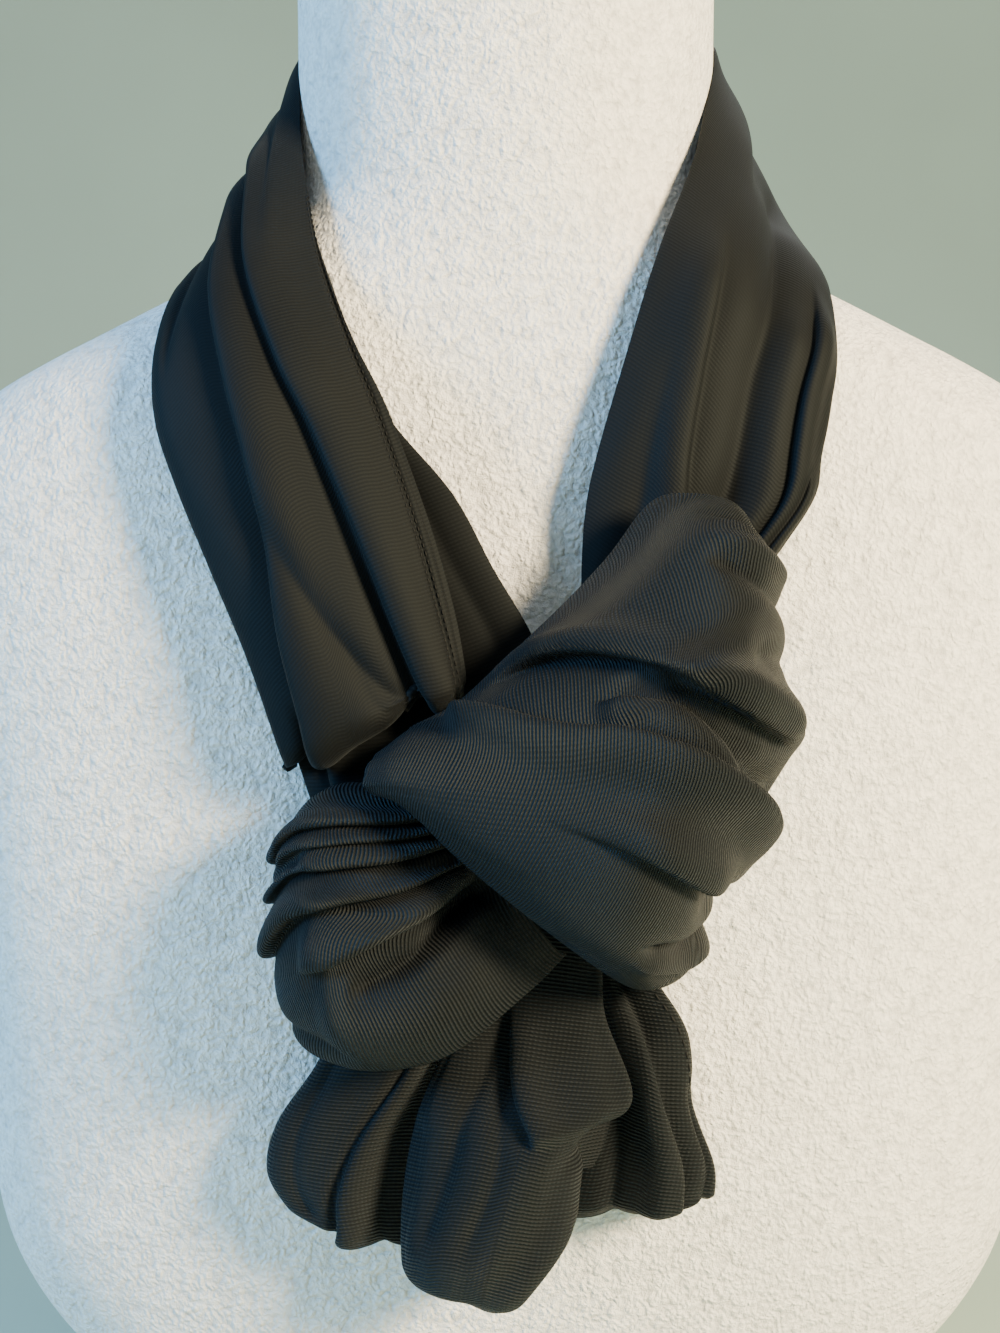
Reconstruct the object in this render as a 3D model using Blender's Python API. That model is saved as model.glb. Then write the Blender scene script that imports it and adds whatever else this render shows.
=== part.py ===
"""Infinity scarf of fine black jersey, worn looped and knotted on a limbless white display bust.

Millimetres while shaping, metres in the scene; +Z is up, the front faces -Y, +X is the viewer's
right.  Each stretch of cloth is a thin wall lofted through half-oval sections.  A section is
given by three points: where it starts, its crest, and where it stops.  Folds are valleys and
ridges that run along the stretch.
"""
from collections import namedtuple
import math

import bpy
import numpy as np

MM = 0.001                  # metres in a millimetre
WALL = 1.6                  # thickness of the doubled jersey
ROLL_STEPS = 3              # facets round a rolled edge
ROLL_ACROSS = 0.02          # how far each of those counts across the piece
BUST_SEGMENTS = 48          # facets round the display bust
NECK_POWER = 2.0            # roundness of the neck's section (2 is an oval)
CHEST_POWER = 2.5           # roundness of the chest's section
NECK_FROM = 330.0           # height where the section is the neck's
CHEST_TO = 290.0            # height where the section is the chest's
FOLD_FADE = 0.16            # share of a piece over which a fold dies away

Point = namedtuple("Point", "x y z")
Section = namedtuple("Section", "start crest stop")
Fold = namedtuple("Fold", "name begins ends across_begin across_mid across_end height width")
BustRow = namedtuple("BustRow", "z half_width front back")
Edge = namedtuple("Edge", "leaves radius sweep")
Stretch = namedtuple("Stretch", "name sections folds along across first_edge last_edge")


def section(start, crest, stop):
    """One section from three (x, y, z) points in millimetres."""
    return Section(Point(*start), Point(*crest), Point(*stop))


BUST = (
    # height, half width, depth to the front, depth to the back
    BustRow(0, 68, 52, 50),
    BustRow(4, 92, 57, 53),
    BustRow(14, 111, 61, 56),
    BustRow(30, 126, 64, 58),
    BustRow(50, 136, 67, 60),
    BustRow(75, 140, 69, 61),
    BustRow(110, 142, 70, 62),
    BustRow(150, 146, 69, 62),
    BustRow(195, 151, 67, 60),
    BustRow(230, 154.5, 63.5, 58),
    BustRow(248, 154, 61, 57),
    BustRow(258, 150, 60, 56),
    BustRow(266, 143, 59, 55.5),
    BustRow(274, 133, 58, 55),
    BustRow(282, 119, 57, 54.5),
    BustRow(289, 105, 56, 54),
    BustRow(295, 93, 55, 54),
    BustRow(300, 83, 54.5, 53.5),
    BustRow(306, 72, 54, 53),
    BustRow(313, 63, 53.5, 53),
    BustRow(322, 57, 53, 53),
    BustRow(334, 54.3, 53, 53),
    BustRow(365, 54, 53, 53),
    BustRow(398, 54, 53, 53),
    BustRow(408, 52, 51, 51),
    BustRow(414, 46, 45, 45),
    BustRow(417, 36, 35, 35),
)

BAND_LEFT = Stretch(
    "band_left",
    (
        section((-55.5, 14.8, 363.0), (-67.0, 14.8, 334.0), (-80.5, 14.8, 307.0)),
        section((-57.0, -1.0, 360.5), (-67.5, -4.0, 333.0), (-81.0, -8.0, 306.0)),
        section((-52.5, -22.0, 336.0), (-66.0, -29.0, 321.5), (-82.0, -37.0, 297.5)),
        section((-45.0, -44.0, 311.0), (-68.5, -55.5, 300.0), (-85.0, -52.0, 282.5)),
        section((-35.0, -61.5, 286.0), (-61.5, -71.0, 279.0), (-82.5, -61.0, 267.0)),
        section((-26.7, -68.0, 269.0), (-53.5, -78.0, 262.0), (-77.5, -66.0, 252.0)),
        section((-17.5, -76.0, 244.5), (-43.5, -85.5, 238.5), (-69.5, -71.5, 233.5)),
        section((-12.0, -80.0, 225.0), (-36.5, -90.0, 219.5), (-61.5, -75.5, 214.5)),
        section((-9.5, -83.0, 210.0), (-31.5, -92.0, 204.0), (-55.5, -79.0, 198.0)),
        section((-9.5, -83.5, 203.5), (-31.0, -91.0, 195.5), (-52.0, -80.0, 188.5)),
        section((-10.0, -80.0, 200.5), (-31.0, -86.0, 191.5), (-50.5, -77.5, 186.0)),
    ),
    (
        # name, begins, ends, across at the beginning, middle and end, height, width
        Fold("inner_valley", -0.10, 1.00, 0.48, 0.34, 0.17, -4.40, 0.065),
        Fold("outer_valley", -0.10, 0.92, 0.70, 0.60, 0.80, -3.60, 0.065),
        Fold("top_valley", -0.10, 0.36, 0.22, 0.25, 0.32, -1.80, 0.060),
        Fold("soft_valley", 0.48, 0.84, 0.62, 0.54, 0.34, -1.80, 0.060),
    ),
    18, 19, Edge(24.0, 0.0, 0.0), Edge(20.0, 3.4, 80.0),
)

BAND_LEFT_INNER = Stretch(
    "band_left_inner",
    (
        section((-33.6, -60.0, 278.5), (-38.0, -61.6, 277.5), (-46.0, -58.5, 275.0)),
        section((-28.0, -63.0, 267.0), (-34.0, -64.4, 265.0), (-42.0, -61.5, 262.0)),
        section((-13.4, -68.0, 249.6), (-21.0, -70.0, 246.0), (-32.0, -66.0, 242.0)),
        section((-3.9, -71.0, 232.0), (-12.0, -73.5, 229.0), (-24.0, -69.5, 225.0)),
        section((4.2, -73.5, 218.0), (-4.0, -76.5, 214.0), (-17.0, -71.5, 209.0)),
        section((8.0, -75.0, 209.0), (0.0, -77.5, 205.0), (-12.0, -73.0, 200.0)),
    ),
    (),
    9, 6, Edge(28.0, 0.0, 0.0), Edge(28.0, 0.0, 0.0),
)

BAND_LEFT_TUCK = Stretch(
    "band_left_tuck",
    (
        section((-48.0, -71.0, 203.0), (-36.0, -75.0, 203.0), (-20.0, -73.0, 205.0)),
        section((-48.5, -72.5, 193.0), (-35.0, -78.0, 192.0), (-19.0, -76.0, 194.0)),
        section((-45.5, -75.0, 182.0), (-34.0, -81.0, 181.0), (-20.0, -79.0, 184.0)),
        section((-43.0, -75.0, 171.0), (-33.0, -81.0, 170.0), (-20.0, -79.0, 173.0)),
    ),
    (
        Fold("slit", -0.1, 1.1, 0.30, 0.34, 0.44, -2.0, 0.12),
    ),
    6, 8, Edge(20.0, 0.0, 0.0), Edge(28.0, 0.0, 0.0),
)

BAND_RIGHT = Stretch(
    "band_right",
    (
        section((55.5, 14.8, 364.5), (66.0, 14.8, 334.0), (79.5, 14.8, 307.0)),
        section((57.0, -1.0, 362.5), (67.0, -4.0, 333.0), (80.0, -8.0, 306.5)),
        section((47.5, -32.5, 332.5), (65.5, -35.0, 320.0), (79.0, -36.0, 299.5)),
        section((35.0, -51.5, 308.0), (61.0, -61.0, 298.0), (78.5, -51.5, 282.5)),
        section((27.5, -61.0, 284.0), (54.0, -70.5, 277.0), (76.5, -59.0, 272.0)),
        section((20.5, -66.0, 260.5), (49.0, -75.0, 260.0), (74.0, -63.5, 261.5)),
        section((18.0, -68.5, 248.0), (46.0, -76.5, 248.0), (71.5, -67.0, 249.5)),
        section((17.5, -70.0, 236.0), (41.0, -77.0, 236.0), (64.5, -70.0, 238.5)),
        section((17.0, -71.0, 224.0), (37.0, -77.0, 224.0), (55.0, -71.5, 226.0)),
    ),
    (
        Fold("inner_valley", 0.42, 1.10, 0.24, 0.27, 0.30, -2.20, 0.055),
        Fold("ridge_valley", 0.32, 1.10, 0.31, 0.43, 0.46, -2.20, 0.050),
        Fold("deep_valley", 0.12, 1.10, 0.60, 0.57, 0.45, -4.40, 0.070),
        Fold("top_valley", -0.10, 0.30, 0.37, 0.39, 0.44, -2.00, 0.060),
        Fold("outer_valley", 0.32, 1.10, 0.77, 0.79, 0.66, -2.20, 0.050),
    ),
    18, 19, Edge(24.0, 0.0, 0.0), Edge(20.0, 3.4, 75.0),
)

BAND_BACK = Stretch(
    "band_back",
    (
        section((-55.5, 15.6, 363.0), (-67.0, 15.6, 334.0), (-80.5, 15.6, 307.0)),
        section((-48.0, 35.5, 366.0), (-63.0, 43.0, 334.5), (-71.5, 47.5, 302.0)),
        section((-26.5, 52.0, 368.0), (-34.0, 65.5, 335.5), (-39.0, 68.0, 300.0)),
        section((0.0, 58.0, 368.5), (0.0, 72.5, 336.0), (0.0, 73.0, 299.5)),
        section((26.5, 52.0, 368.0), (33.5, 65.5, 335.5), (38.5, 68.0, 300.0)),
        section((48.0, 35.5, 366.5), (61.0, 43.0, 334.0), (71.0, 47.5, 302.0)),
        section((55.5, 15.6, 364.5), (66.0, 15.6, 334.0), (79.5, 15.6, 307.0)),
    ),
    (
        Fold("upper_valley", -0.10, 1.10, 0.22, 0.31, 0.36, -2.20, 0.060),
        Fold("middle_valley", -0.10, 1.10, 0.50, 0.51, 0.60, -4.00, 0.070),
        Fold("lower_valley", -0.10, 1.10, 0.72, 0.76, 0.78, -2.80, 0.060),
    ),
    15, 15, Edge(24.0, 0.0, 0.0), Edge(20.0, 3.4, 70.0),
)

KNOT_OVER = Stretch(
    "knot_over",
    (
        section((-28.0, -93.0, 192.5), (-32.5, -101.5, 187.2), (-29.5, -97.0, 183.0)),
        section((-22.5, -94.0, 197.0), (-24.0, -110.5, 189.0), (-23.5, -103.0, 181.0)),
        section((-10.0, -93.0, 204.0), (-8.0, -121.0, 189.0), (-13.0, -110.0, 172.0)),
        section((8.5, -90.0, 220.5), (13.0, -128.0, 189.5), (3.0, -112.0, 158.5)),
        section((23.0, -87.5, 235.0), (32.0, -128.5, 194.0), (15.5, -110.0, 148.5)),
        section((34.5, -87.0, 249.0), (47.5, -121.0, 198.0), (25.0, -105.0, 141.0)),
        section((45.5, -87.0, 250.0), (58.0, -108.0, 200.0), (32.0, -99.0, 137.0)),
        section((50.0, -84.5, 243.0), (64.0, -92.0, 200.0), (38.5, -93.0, 137.0)),
        section((49.5, -79.0, 239.0), (62.5, -80.0, 200.0), (39.0, -85.0, 139.5)),
    ),
    (
        Fold("upper_lap", 0.28, 1.10, 0.060, 0.46, 0.52, -3.80, 0.045),
        Fold("lower_lap", 0.21, 1.10, 0.080, 0.57, 0.65, -3.20, 0.045),
        Fold("pucker", 0.42, 0.85, 0.34, 0.50, 0.62, -2.20, 0.040),
        Fold("low_valley", 0.36, 1.10, 0.60, 0.72, 0.75, -3.40, 0.042),
        Fold("rim_valley", 0.60, 1.10, 0.84, 0.82, 0.82, -2.60, 0.035),
        Fold("pocket", 0.60, 1.10, 0.26, 0.34, 0.36, -2.40, 0.040),
        Fold("waist", 0.72, 1.10, 0.69, 0.69, 0.68, -5.50, 0.070),
    ),
    20, 22, Edge(0.0, 4.0, 20.0), Edge(0.0, 4.0, 30.0),
)

KNOT_UNDER = Stretch(
    "knot_under",
    (
        section((-1.0, -90.0, 170.0), (4.0, -97.0, 157.0), (14.0, -93.0, 144.0)),
        section((-12.0, -92.0, 176.0), (-6.0, -103.0, 154.0), (5.5, -99.0, 137.0)),
        section((-24.0, -91.0, 182.0), (-20.0, -112.5, 148.0), (-12.0, -101.0, 124.0)),
        section((-36.0, -90.0, 184.0), (-38.0, -113.0, 148.0), (-28.0, -99.0, 119.0)),
        section((-42.5, -87.5, 180.0), (-48.5, -102.5, 149.0), (-38.5, -95.0, 119.5)),
        section((-46.5, -84.0, 173.5), (-55.5, -91.0, 145.0), (-42.0, -90.5, 124.5)),
        section((-45.0, -79.0, 171.5), (-53.0, -80.5, 146.0), (-43.0, -83.5, 128.5)),
    ),
    (
        Fold("first_pleat", 0.16, 1.10, 0.12, 0.23, 0.25, -2.20, 0.040),
        Fold("third_pleat", 0.10, 1.10, 0.20, 0.34, 0.38, -2.80, 0.040),
        Fold("fourth_pleat", 0.10, 1.10, 0.28, 0.48, 0.57, -2.80, 0.045),
        Fold("deep_pleat", 0.050, 0.50, 0.38, 0.50, 0.58, -4.20, 0.050),
    ),
    18, 20, Edge(0.0, 0.0, 0.0), Edge(0.0, 0.0, 0.0),
)

TAIL_LEFT = Stretch(
    "tail_left",
    (
        section((-38.0, -80.0, 126.0), (-28.0, -87.0, 127.0), (-7.5, -81.0, 127.0)),
        section((-45.0, -79.0, 113.0), (-34.0, -88.0, 112.0), (-12.5, -80.5, 112.0)),
        section((-54.5, -78.0, 99.0), (-40.0, -89.0, 98.0), (-17.5, -79.5, 98.0)),
        section((-57.0, -78.0, 88.0), (-42.0, -88.5, 85.0), (-19.0, -79.0, 84.0)),
        section((-52.5, -78.5, 79.0), (-40.0, -87.0, 74.5), (-20.5, -79.0, 70.0)),
        section((-49.5, -77.5, 77.0), (-39.0, -81.5, 71.5), (-20.5, -77.5, 68.5)),
    ),
    (
        Fold("long_valley", -0.10, 1.10, 0.80, 0.60, 0.50, -2.80, 0.080),
        Fold("side_valley", -0.10, 0.80, 0.30, 0.32, 0.36, -1.60, 0.070),
    ),
    13, 13, Edge(6.0, 3.0, 40.0), Edge(16.0, 0.0, 0.0),
)

TAIL_CENTRE = Stretch(
    "tail_centre",
    (
        section((-1.0, -82.0, 154.0), (11.0, -86.0, 155.0), (22.0, -83.0, 152.0)),
        section((-6.0, -84.0, 142.0), (8.0, -89.0, 143.0), (22.0, -86.0, 141.0)),
        section((-13.0, -87.0, 124.0), (6.0, -95.5, 127.0), (22.0, -91.0, 129.0)),
        section((-20.0, -90.0, 108.0), (3.0, -105.0, 109.0), (29.0, -94.0, 111.0)),
        section((-22.0, -90.5, 101.0), (1.0, -107.5, 101.0), (20.0, -95.0, 105.5)),
        section((-23.5, -91.0, 93.0), (-1.0, -108.5, 92.5), (15.5, -93.5, 98.0)),
        section((-25.0, -91.0, 80.0), (-5.0, -107.5, 77.0), (17.0, -89.0, 80.0)),
        section((-25.0, -90.5, 69.5), (-7.5, -103.0, 64.5), (11.0, -89.0, 70.0)),
        section((-22.5, -87.0, 67.5), (-7.5, -96.0, 61.0), (9.0, -86.5, 68.5)),
    ),
    (
        Fold("left_valley", -0.10, 0.66, 0.34, 0.28, 0.23, -2.80, 0.060),
        Fold("centre_valley", -0.10, 0.50, 0.40, 0.46, 0.52, -2.00, 0.055),
        Fold("lip_valley", 0.46, 1.10, 0.88, 0.70, 0.66, -2.60, 0.055),
    ),
    18, 17, Edge(0.0, 3.5, 30.0), Edge(0.0, 3.5, 40.0),
)

TAIL_RIGHT = Stretch(
    "tail_right",
    (
        section((19.0, -76.0, 144.0), (29.5, -83.0, 142.0), (31.0, -79.0, 138.0)),
        section((18.0, -77.0, 124.0), (35.5, -86.5, 125.0), (41.5, -78.5, 122.0)),
        section((16.5, -77.5, 106.0), (36.5, -88.0, 106.0), (43.5, -78.0, 104.0)),
        section((14.5, -77.5, 92.0), (37.0, -87.5, 92.0), (49.0, -79.0, 90.0)),
        section((13.5, -77.5, 80.0), (35.0, -86.5, 80.0), (50.0, -79.0, 82.5)),
        section((13.5, -76.0, 75.0), (34.5, -81.5, 76.5), (49.0, -77.5, 80.0)),
    ),
    (
        Fold("long_valley", -0.10, 0.86, 0.14, 0.46, 0.62, -3.00, 0.080),
        Fold("left_valley", 0.35, 1.10, 0.22, 0.26, 0.32, -2.20, 0.080),
    ),
    13, 13, Edge(16.0, 0.0, 0.0), Edge(6.0, 3.0, 40.0),
)

CLOTH = (
    BAND_BACK, BAND_LEFT, BAND_LEFT_INNER, BAND_LEFT_TUCK, BAND_RIGHT,
    KNOT_OVER, KNOT_UNDER, TAIL_LEFT, TAIL_CENTRE, TAIL_RIGHT,
)


def spline_rows(rows, samples):
    """Smooth values through the rows, evenly numbered from the first row to the last."""
    rows = np.asarray(rows, dtype=float)
    place = np.linspace(0.0, len(rows) - 1.0, samples)
    cell = np.minimum(place.astype(int), len(rows) - 2)
    part = (place - cell).reshape((-1,) + (1,) * (rows.ndim - 1))
    before = np.concatenate((2.0 * rows[:1] - rows[1:2], rows, 2.0 * rows[-1:] - rows[-2:-1]))
    a, b, c, d = (before[cell + step] for step in range(4))
    return 0.5 * (
        2.0 * b + (c - a) * part + (2.0 * a - 5.0 * b + 4.0 * c - d) * part ** 2
        + (3.0 * b - a - 3.0 * c + d) * part ** 3
    )


def signed_power(value, power):
    """A power that keeps the sign."""
    return np.sign(value) * np.abs(value) ** power


def unit(vectors):
    """Vectors made one long."""
    return vectors / np.linalg.norm(vectors, axis=-1, keepdims=True)


def rolled_edge(edge, curve, step, rise):
    """Points of a round roll that carries on from one end of the half oval."""
    end, ahead = curve[:, step], unit(curve[:, step] - curve[:, step + (1 if step == 0 else -1)])
    out = unit(rise - np.sum(rise * ahead, axis=-1, keepdims=True) * ahead)
    turns = np.radians(edge.sweep) * np.arange(1, ROLL_STEPS + 1) / ROLL_STEPS
    return [
        end + edge.radius * (ahead * math.sin(turn) - out * (1.0 - math.cos(turn)))
        for turn in turns
    ]


def base_surface(stretch):
    """Half-oval sections along the stretch, before its folds: a grid, and its across values."""
    rows = [[piece.start, piece.crest, piece.stop] for piece in stretch.sections]
    start, crest, stop = np.moveaxis(spline_rows(rows, stretch.along), 1, 0)
    middle, half = 0.5 * (start + stop), 0.5 * (start - stop)
    rise = crest - middle
    first, last = stretch.first_edge, stretch.last_edge
    rolls = ROLL_STEPS * ((first.radius > 0.0) + (last.radius > 0.0))
    share = np.linspace(0.0, 1.0, stretch.across - rolls)
    angle = np.radians(first.leaves + (180.0 - first.leaves - last.leaves) * share)
    # The half oval is widened so that the wall still begins and ends at the named points.
    ends = 0.5 * (math.cos(math.radians(first.leaves)) + math.cos(math.radians(last.leaves)))
    curve = (middle[:, None] + half[:, None] * np.cos(angle)[None, :, None] / ends
             + rise[:, None] * np.sin(angle)[None, :, None])
    columns, places = [curve[:, index] for index in range(curve.shape[1])], share.tolist()
    beyond = [ROLL_ACROSS * (index + 1) for index in range(ROLL_STEPS)]
    if first.radius > 0.0:
        columns = rolled_edge(first, curve, 0, rise)[::-1] + columns
        places = [-place for place in beyond[::-1]] + places
    if last.radius > 0.0:
        columns += rolled_edge(last, curve, -1, rise)
        places += [1.0 + place for place in beyond]
    return np.stack(columns, axis=1), np.array(places)


def outward_normals(points):
    """Unit normals of a grid, pointing away from the bust's upright middle line."""
    normal = np.cross(np.gradient(points, axis=0), np.gradient(points, axis=1))
    normal /= np.linalg.norm(normal, axis=2, keepdims=True)
    away = points * np.array((1.0, 1.0, 0.0))
    return normal if np.sum(normal * away) > 0.0 else -normal


def fold_height(fold, along, across):
    """Height that one fold adds at each place of the grid."""
    share = np.clip((along - fold.begins) / (fold.ends - fold.begins), 0.0, 1.0)
    line = ((1.0 - share) * (1.0 - 2.0 * share) * fold.across_begin
            + 4.0 * share * (1.0 - share) * fold.across_mid
            + share * (2.0 * share - 1.0) * fold.across_end)
    rising = np.clip((along - fold.begins) / FOLD_FADE, 0.0, 1.0)
    falling = np.clip((fold.ends - along) / FOLD_FADE, 0.0, 1.0)
    fade = rising * rising * (3.0 - 2.0 * rising) * falling * falling * (3.0 - 2.0 * falling)
    return fold.height * fade * np.exp(-((across - line) / fold.width) ** 2)


def folded_surface(stretch):
    """The stretch's outer face with its folds."""
    points, places = base_surface(stretch)
    normal = outward_normals(points)
    along, across = np.linspace(0.0, 1.0, stretch.along)[:, None], places[None, :]
    height = sum((fold_height(fold, along, across) for fold in stretch.folds), 0.0 * along * across)
    return points + normal * height[:, :, None]


def wall_mesh(outer):
    """Vertices and faces of a closed wall behind the outer face."""
    along, across = outer.shape[:2]
    normal = outward_normals(outer)
    inner = outer - WALL * normal
    count = along * across
    number = np.arange(count).reshape(along, across)
    quads = np.stack((number[:-1, :-1], number[1:, :-1], number[1:, 1:], number[:-1, 1:]), axis=-1)
    quads = quads.reshape(-1, 4)
    rim = np.concatenate((number[0, :-1], number[:-1, -1], number[-1, :0:-1], number[:0:-1, 0]))
    following = np.roll(rim, -1)
    sides = np.stack((rim, following, following + count, rim + count), axis=-1)
    faces = np.concatenate((quads, quads[:, ::-1] + count, sides))
    first = outer[1, 0] - outer[0, 0]
    second = outer[0, 1] - outer[0, 0]
    if np.dot(np.cross(first, second), normal[0, 0]) < 0.0:
        faces = faces[:, ::-1]
    return np.concatenate((outer.reshape(-1, 3), inner.reshape(-1, 3))), faces


def bust_mesh():
    """Vertices and faces of the display bust: oval rings from its flat base to its plain top."""
    rows = np.array(BUST, dtype=float)
    angle = np.linspace(0.0, 2.0 * math.pi, BUST_SEGMENTS, endpoint=False)
    blend = np.clip((rows[:, 0] - CHEST_TO) / (NECK_FROM - CHEST_TO), 0.0, 1.0)
    power = (CHEST_POWER + (NECK_POWER - CHEST_POWER) * blend)[:, None]
    out = signed_power(np.cos(angle)[None, :], 2.0 / power)
    deep = signed_power(np.sin(angle)[None, :], 2.0 / power)
    depth = np.where(deep < 0.0, rows[:, 2:3], rows[:, 3:4])
    height = np.broadcast_to(rows[:, :1], out.shape)
    points = np.stack((rows[:, 1:2] * out, depth * deep, height), axis=-1)
    number = np.arange(points.shape[0] * BUST_SEGMENTS).reshape(-1, BUST_SEGMENTS)
    beside = np.roll(number, -1, axis=1)
    quads = np.stack((number[:-1], beside[:-1], beside[1:], number[1:]), axis=-1).reshape(-1, 4)
    faces = [quad.tolist() for quad in quads]
    faces += [number[0, ::-1].tolist(), number[-1].tolist()]
    return points.reshape(-1, 3), faces


def cloth_material(name, colour, roughness, sheen):
    """A plain finish."""
    material = bpy.data.materials.new(name)
    material.use_nodes = True
    shader = material.node_tree.nodes["Principled BSDF"]
    shader.inputs["Base Color"].default_value = (*colour, 1.0)
    shader.inputs["Roughness"].default_value = roughness
    shader.inputs["Sheen Weight"].default_value = sheen
    material.diffuse_color = (*colour, 1.0)
    return material


def add_object(name, points, faces, material):
    """A named object from points in millimetres."""
    mesh = bpy.data.meshes.new(name)
    mesh.from_pydata((points * MM).tolist(), [], [list(face) for face in faces])
    mesh.update()
    mesh.materials.append(material)
    item = bpy.data.objects.new(name, mesh)
    bpy.context.scene.collection.objects.link(item)
    return item


def main():
    """Build the bust and every stretch of the scarf."""
    for item in list(bpy.data.objects):
        bpy.data.objects.remove(item, do_unlink=True)
    points, faces = bust_mesh()
    add_object("display_bust", points, faces,
               cloth_material("white_plush", (0.82, 0.82, 0.80), 0.9, 0.3))
    for stretch in CLOTH:
        points, faces = wall_mesh(folded_surface(stretch))
        add_object(stretch.name, points, faces.tolist(),
                   cloth_material("jersey_" + stretch.name, (0.020, 0.021, 0.024), 0.75, 0.4))


main()
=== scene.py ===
"""Infinity scarf of fine black jersey, looped and wrapped into a soft front knot on a white bust.

Every stretch of cloth is a thin shell.  Its form is lofted through half-oval sections, each given
by three points (where it starts, its crest, where it stops), and its folds are valleys, ridges and
laps that run along it.  Sizes are in millimetres until a mesh is made; +Z is up, the front faces
-Y and +X is the viewer's right.
"""
import logging
import math
from dataclasses import dataclass, field
from enum import Enum
from typing import NamedTuple, Optional

import bpy
import numpy as np
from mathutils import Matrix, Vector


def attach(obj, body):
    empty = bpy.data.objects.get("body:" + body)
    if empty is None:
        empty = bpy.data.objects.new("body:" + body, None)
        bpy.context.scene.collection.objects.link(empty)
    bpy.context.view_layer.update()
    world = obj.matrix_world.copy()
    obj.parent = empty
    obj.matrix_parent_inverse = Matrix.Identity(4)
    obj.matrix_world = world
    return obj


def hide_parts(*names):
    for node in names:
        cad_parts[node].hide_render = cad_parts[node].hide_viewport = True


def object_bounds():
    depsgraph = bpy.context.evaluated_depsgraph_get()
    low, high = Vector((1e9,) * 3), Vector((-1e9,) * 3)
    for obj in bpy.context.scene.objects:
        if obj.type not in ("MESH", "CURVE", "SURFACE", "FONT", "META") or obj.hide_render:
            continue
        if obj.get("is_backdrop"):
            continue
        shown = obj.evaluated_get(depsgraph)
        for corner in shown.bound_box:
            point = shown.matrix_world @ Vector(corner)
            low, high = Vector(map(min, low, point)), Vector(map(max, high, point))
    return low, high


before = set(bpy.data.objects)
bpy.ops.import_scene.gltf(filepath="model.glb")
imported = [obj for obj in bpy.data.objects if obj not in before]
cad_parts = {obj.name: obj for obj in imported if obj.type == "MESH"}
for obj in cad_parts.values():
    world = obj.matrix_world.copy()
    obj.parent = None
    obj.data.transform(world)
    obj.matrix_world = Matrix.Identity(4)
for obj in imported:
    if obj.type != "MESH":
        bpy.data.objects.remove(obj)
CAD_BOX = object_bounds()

log = logging.getLogger("scarf")

MM = 0.001                        # metres in a millimetre
BODY = "root"                     # the one body that every piece rides on
SHELL = 1.1                       # thickness of the visible shell, in millimetres
TINY = 1e-9                       # keeps a division away from nothing
FULL_TURN = 2.0 * math.pi

ROLL_STEPS = 8                    # facets round a rolled edge
ROLL_ACROSS = 0.008               # how far each of those counts across the piece

VALLEY_FALL = 1.1                 # how fast a valley's sides rise again
VALLEY_ROUND = 0.3                # half width of its rounded bottom, in fold widths
LAP_STEEP = 7.0                   # how steep a lap's step is
LAP_STEEP_LIMIT = 40.0            # keeps the step's exponential finite
LAP_TOP, LAP_SHIFT, LAP_REACH = 1.1, 0.8, 1.8   # height, offset and reach of the upper cloth
LAP_FOOT, LAP_FOOT_REACH = 0.8, 1.3             # depth and reach of the cloth below
HANG_STEEP, HANG_REACH = 5.0, 0.8               # how sharply and how near the step hangs over

RIPPLES = 9                       # slow waves in each stretch
LONG_WAVE = (35.0, 110.0)         # their lengths along the cloth, in millimetres
SHORT_WAVE = (9.0, 26.0)          # their lengths across it
RIPPLE_SLANT = (-0.25, 0.25)
RIPPLE_STRENGTH = (0.3, 1.0)
RIPPLE_SHARE = 3.0                # what the sum of the waves is divided by

PATH_STEPS = 12                   # points of a stitch row's path for each stitch
STITCH_PROUD = 0.35               # how far a stitch stands up, in its own radius
STITCH_TIP = 0.02                 # what is left of a stitch's thickness at its tips, squared

Colour = tuple[float, float, float]
Place = tuple[float, float, float]


class Shape(Enum):
    """How a fold rises or falls across its line."""

    VALLEY = "a crease with puffed shoulders"
    RIDGE = "a rounded ridge"
    LAP = "cloth before the line lies over cloth after it"
    UNDERLAP = "cloth after the line lies over cloth before it"


class Point(NamedTuple):
    """A place in millimetres."""

    x: float
    y: float
    z: float


class Section(NamedTuple):
    """One half-oval section across a stretch."""

    start: Point
    crest: Point
    stop: Point


class Edge(NamedTuple):
    """How a section ends: degrees left off the oval, then the radius and sweep of a roll."""

    leaves: float
    radius: float
    sweep: float


@dataclass(frozen=True)
class Fold:
    """One fold: where it runs along the stretch, its line across, and its height and width."""

    name: str
    shape: Shape
    begins: float
    ends: float
    line: tuple[float, ...]
    height: float
    width: float
    last_height: Optional[float] = None
    last_width: Optional[float] = None
    fade: float = 0.08
    hang: float = 0.0


def section(start: tuple, crest: tuple, stop: tuple) -> Section:
    """One section from three (x, y, z) tuples in millimetres."""
    return Section(Point(*start), Point(*crest), Point(*stop))


def spline(rows: np.ndarray, place: np.ndarray) -> np.ndarray:
    """Smooth values through evenly numbered rows.

    A Catmull-Rom curve: each span is a cubic whose slopes are half the step between neighbours.

    Args:
        rows: Values, one row each.
        place: Where to read them, counted in rows from the first.

    Returns:
        The values at each place.
    """
    rows = np.asarray(rows, dtype=float)
    cell = np.clip(place.astype(int), 0, len(rows) - 2)
    part = (place - cell).reshape(place.shape + (1,) * (rows.ndim - 1))
    first, last = 2.0 * rows[:1] - rows[1:2], 2.0 * rows[-1:] - rows[-2:-1]
    longer = np.concatenate((first, rows, last))
    a, b, c, d = (longer[cell + step] for step in range(4))
    return 0.5 * (
        2.0 * b + (c - a) * part + (2.0 * a - 5.0 * b + 4.0 * c - d) * part ** 2
        + (3.0 * b - a - 3.0 * c + d) * part ** 3
    )


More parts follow.
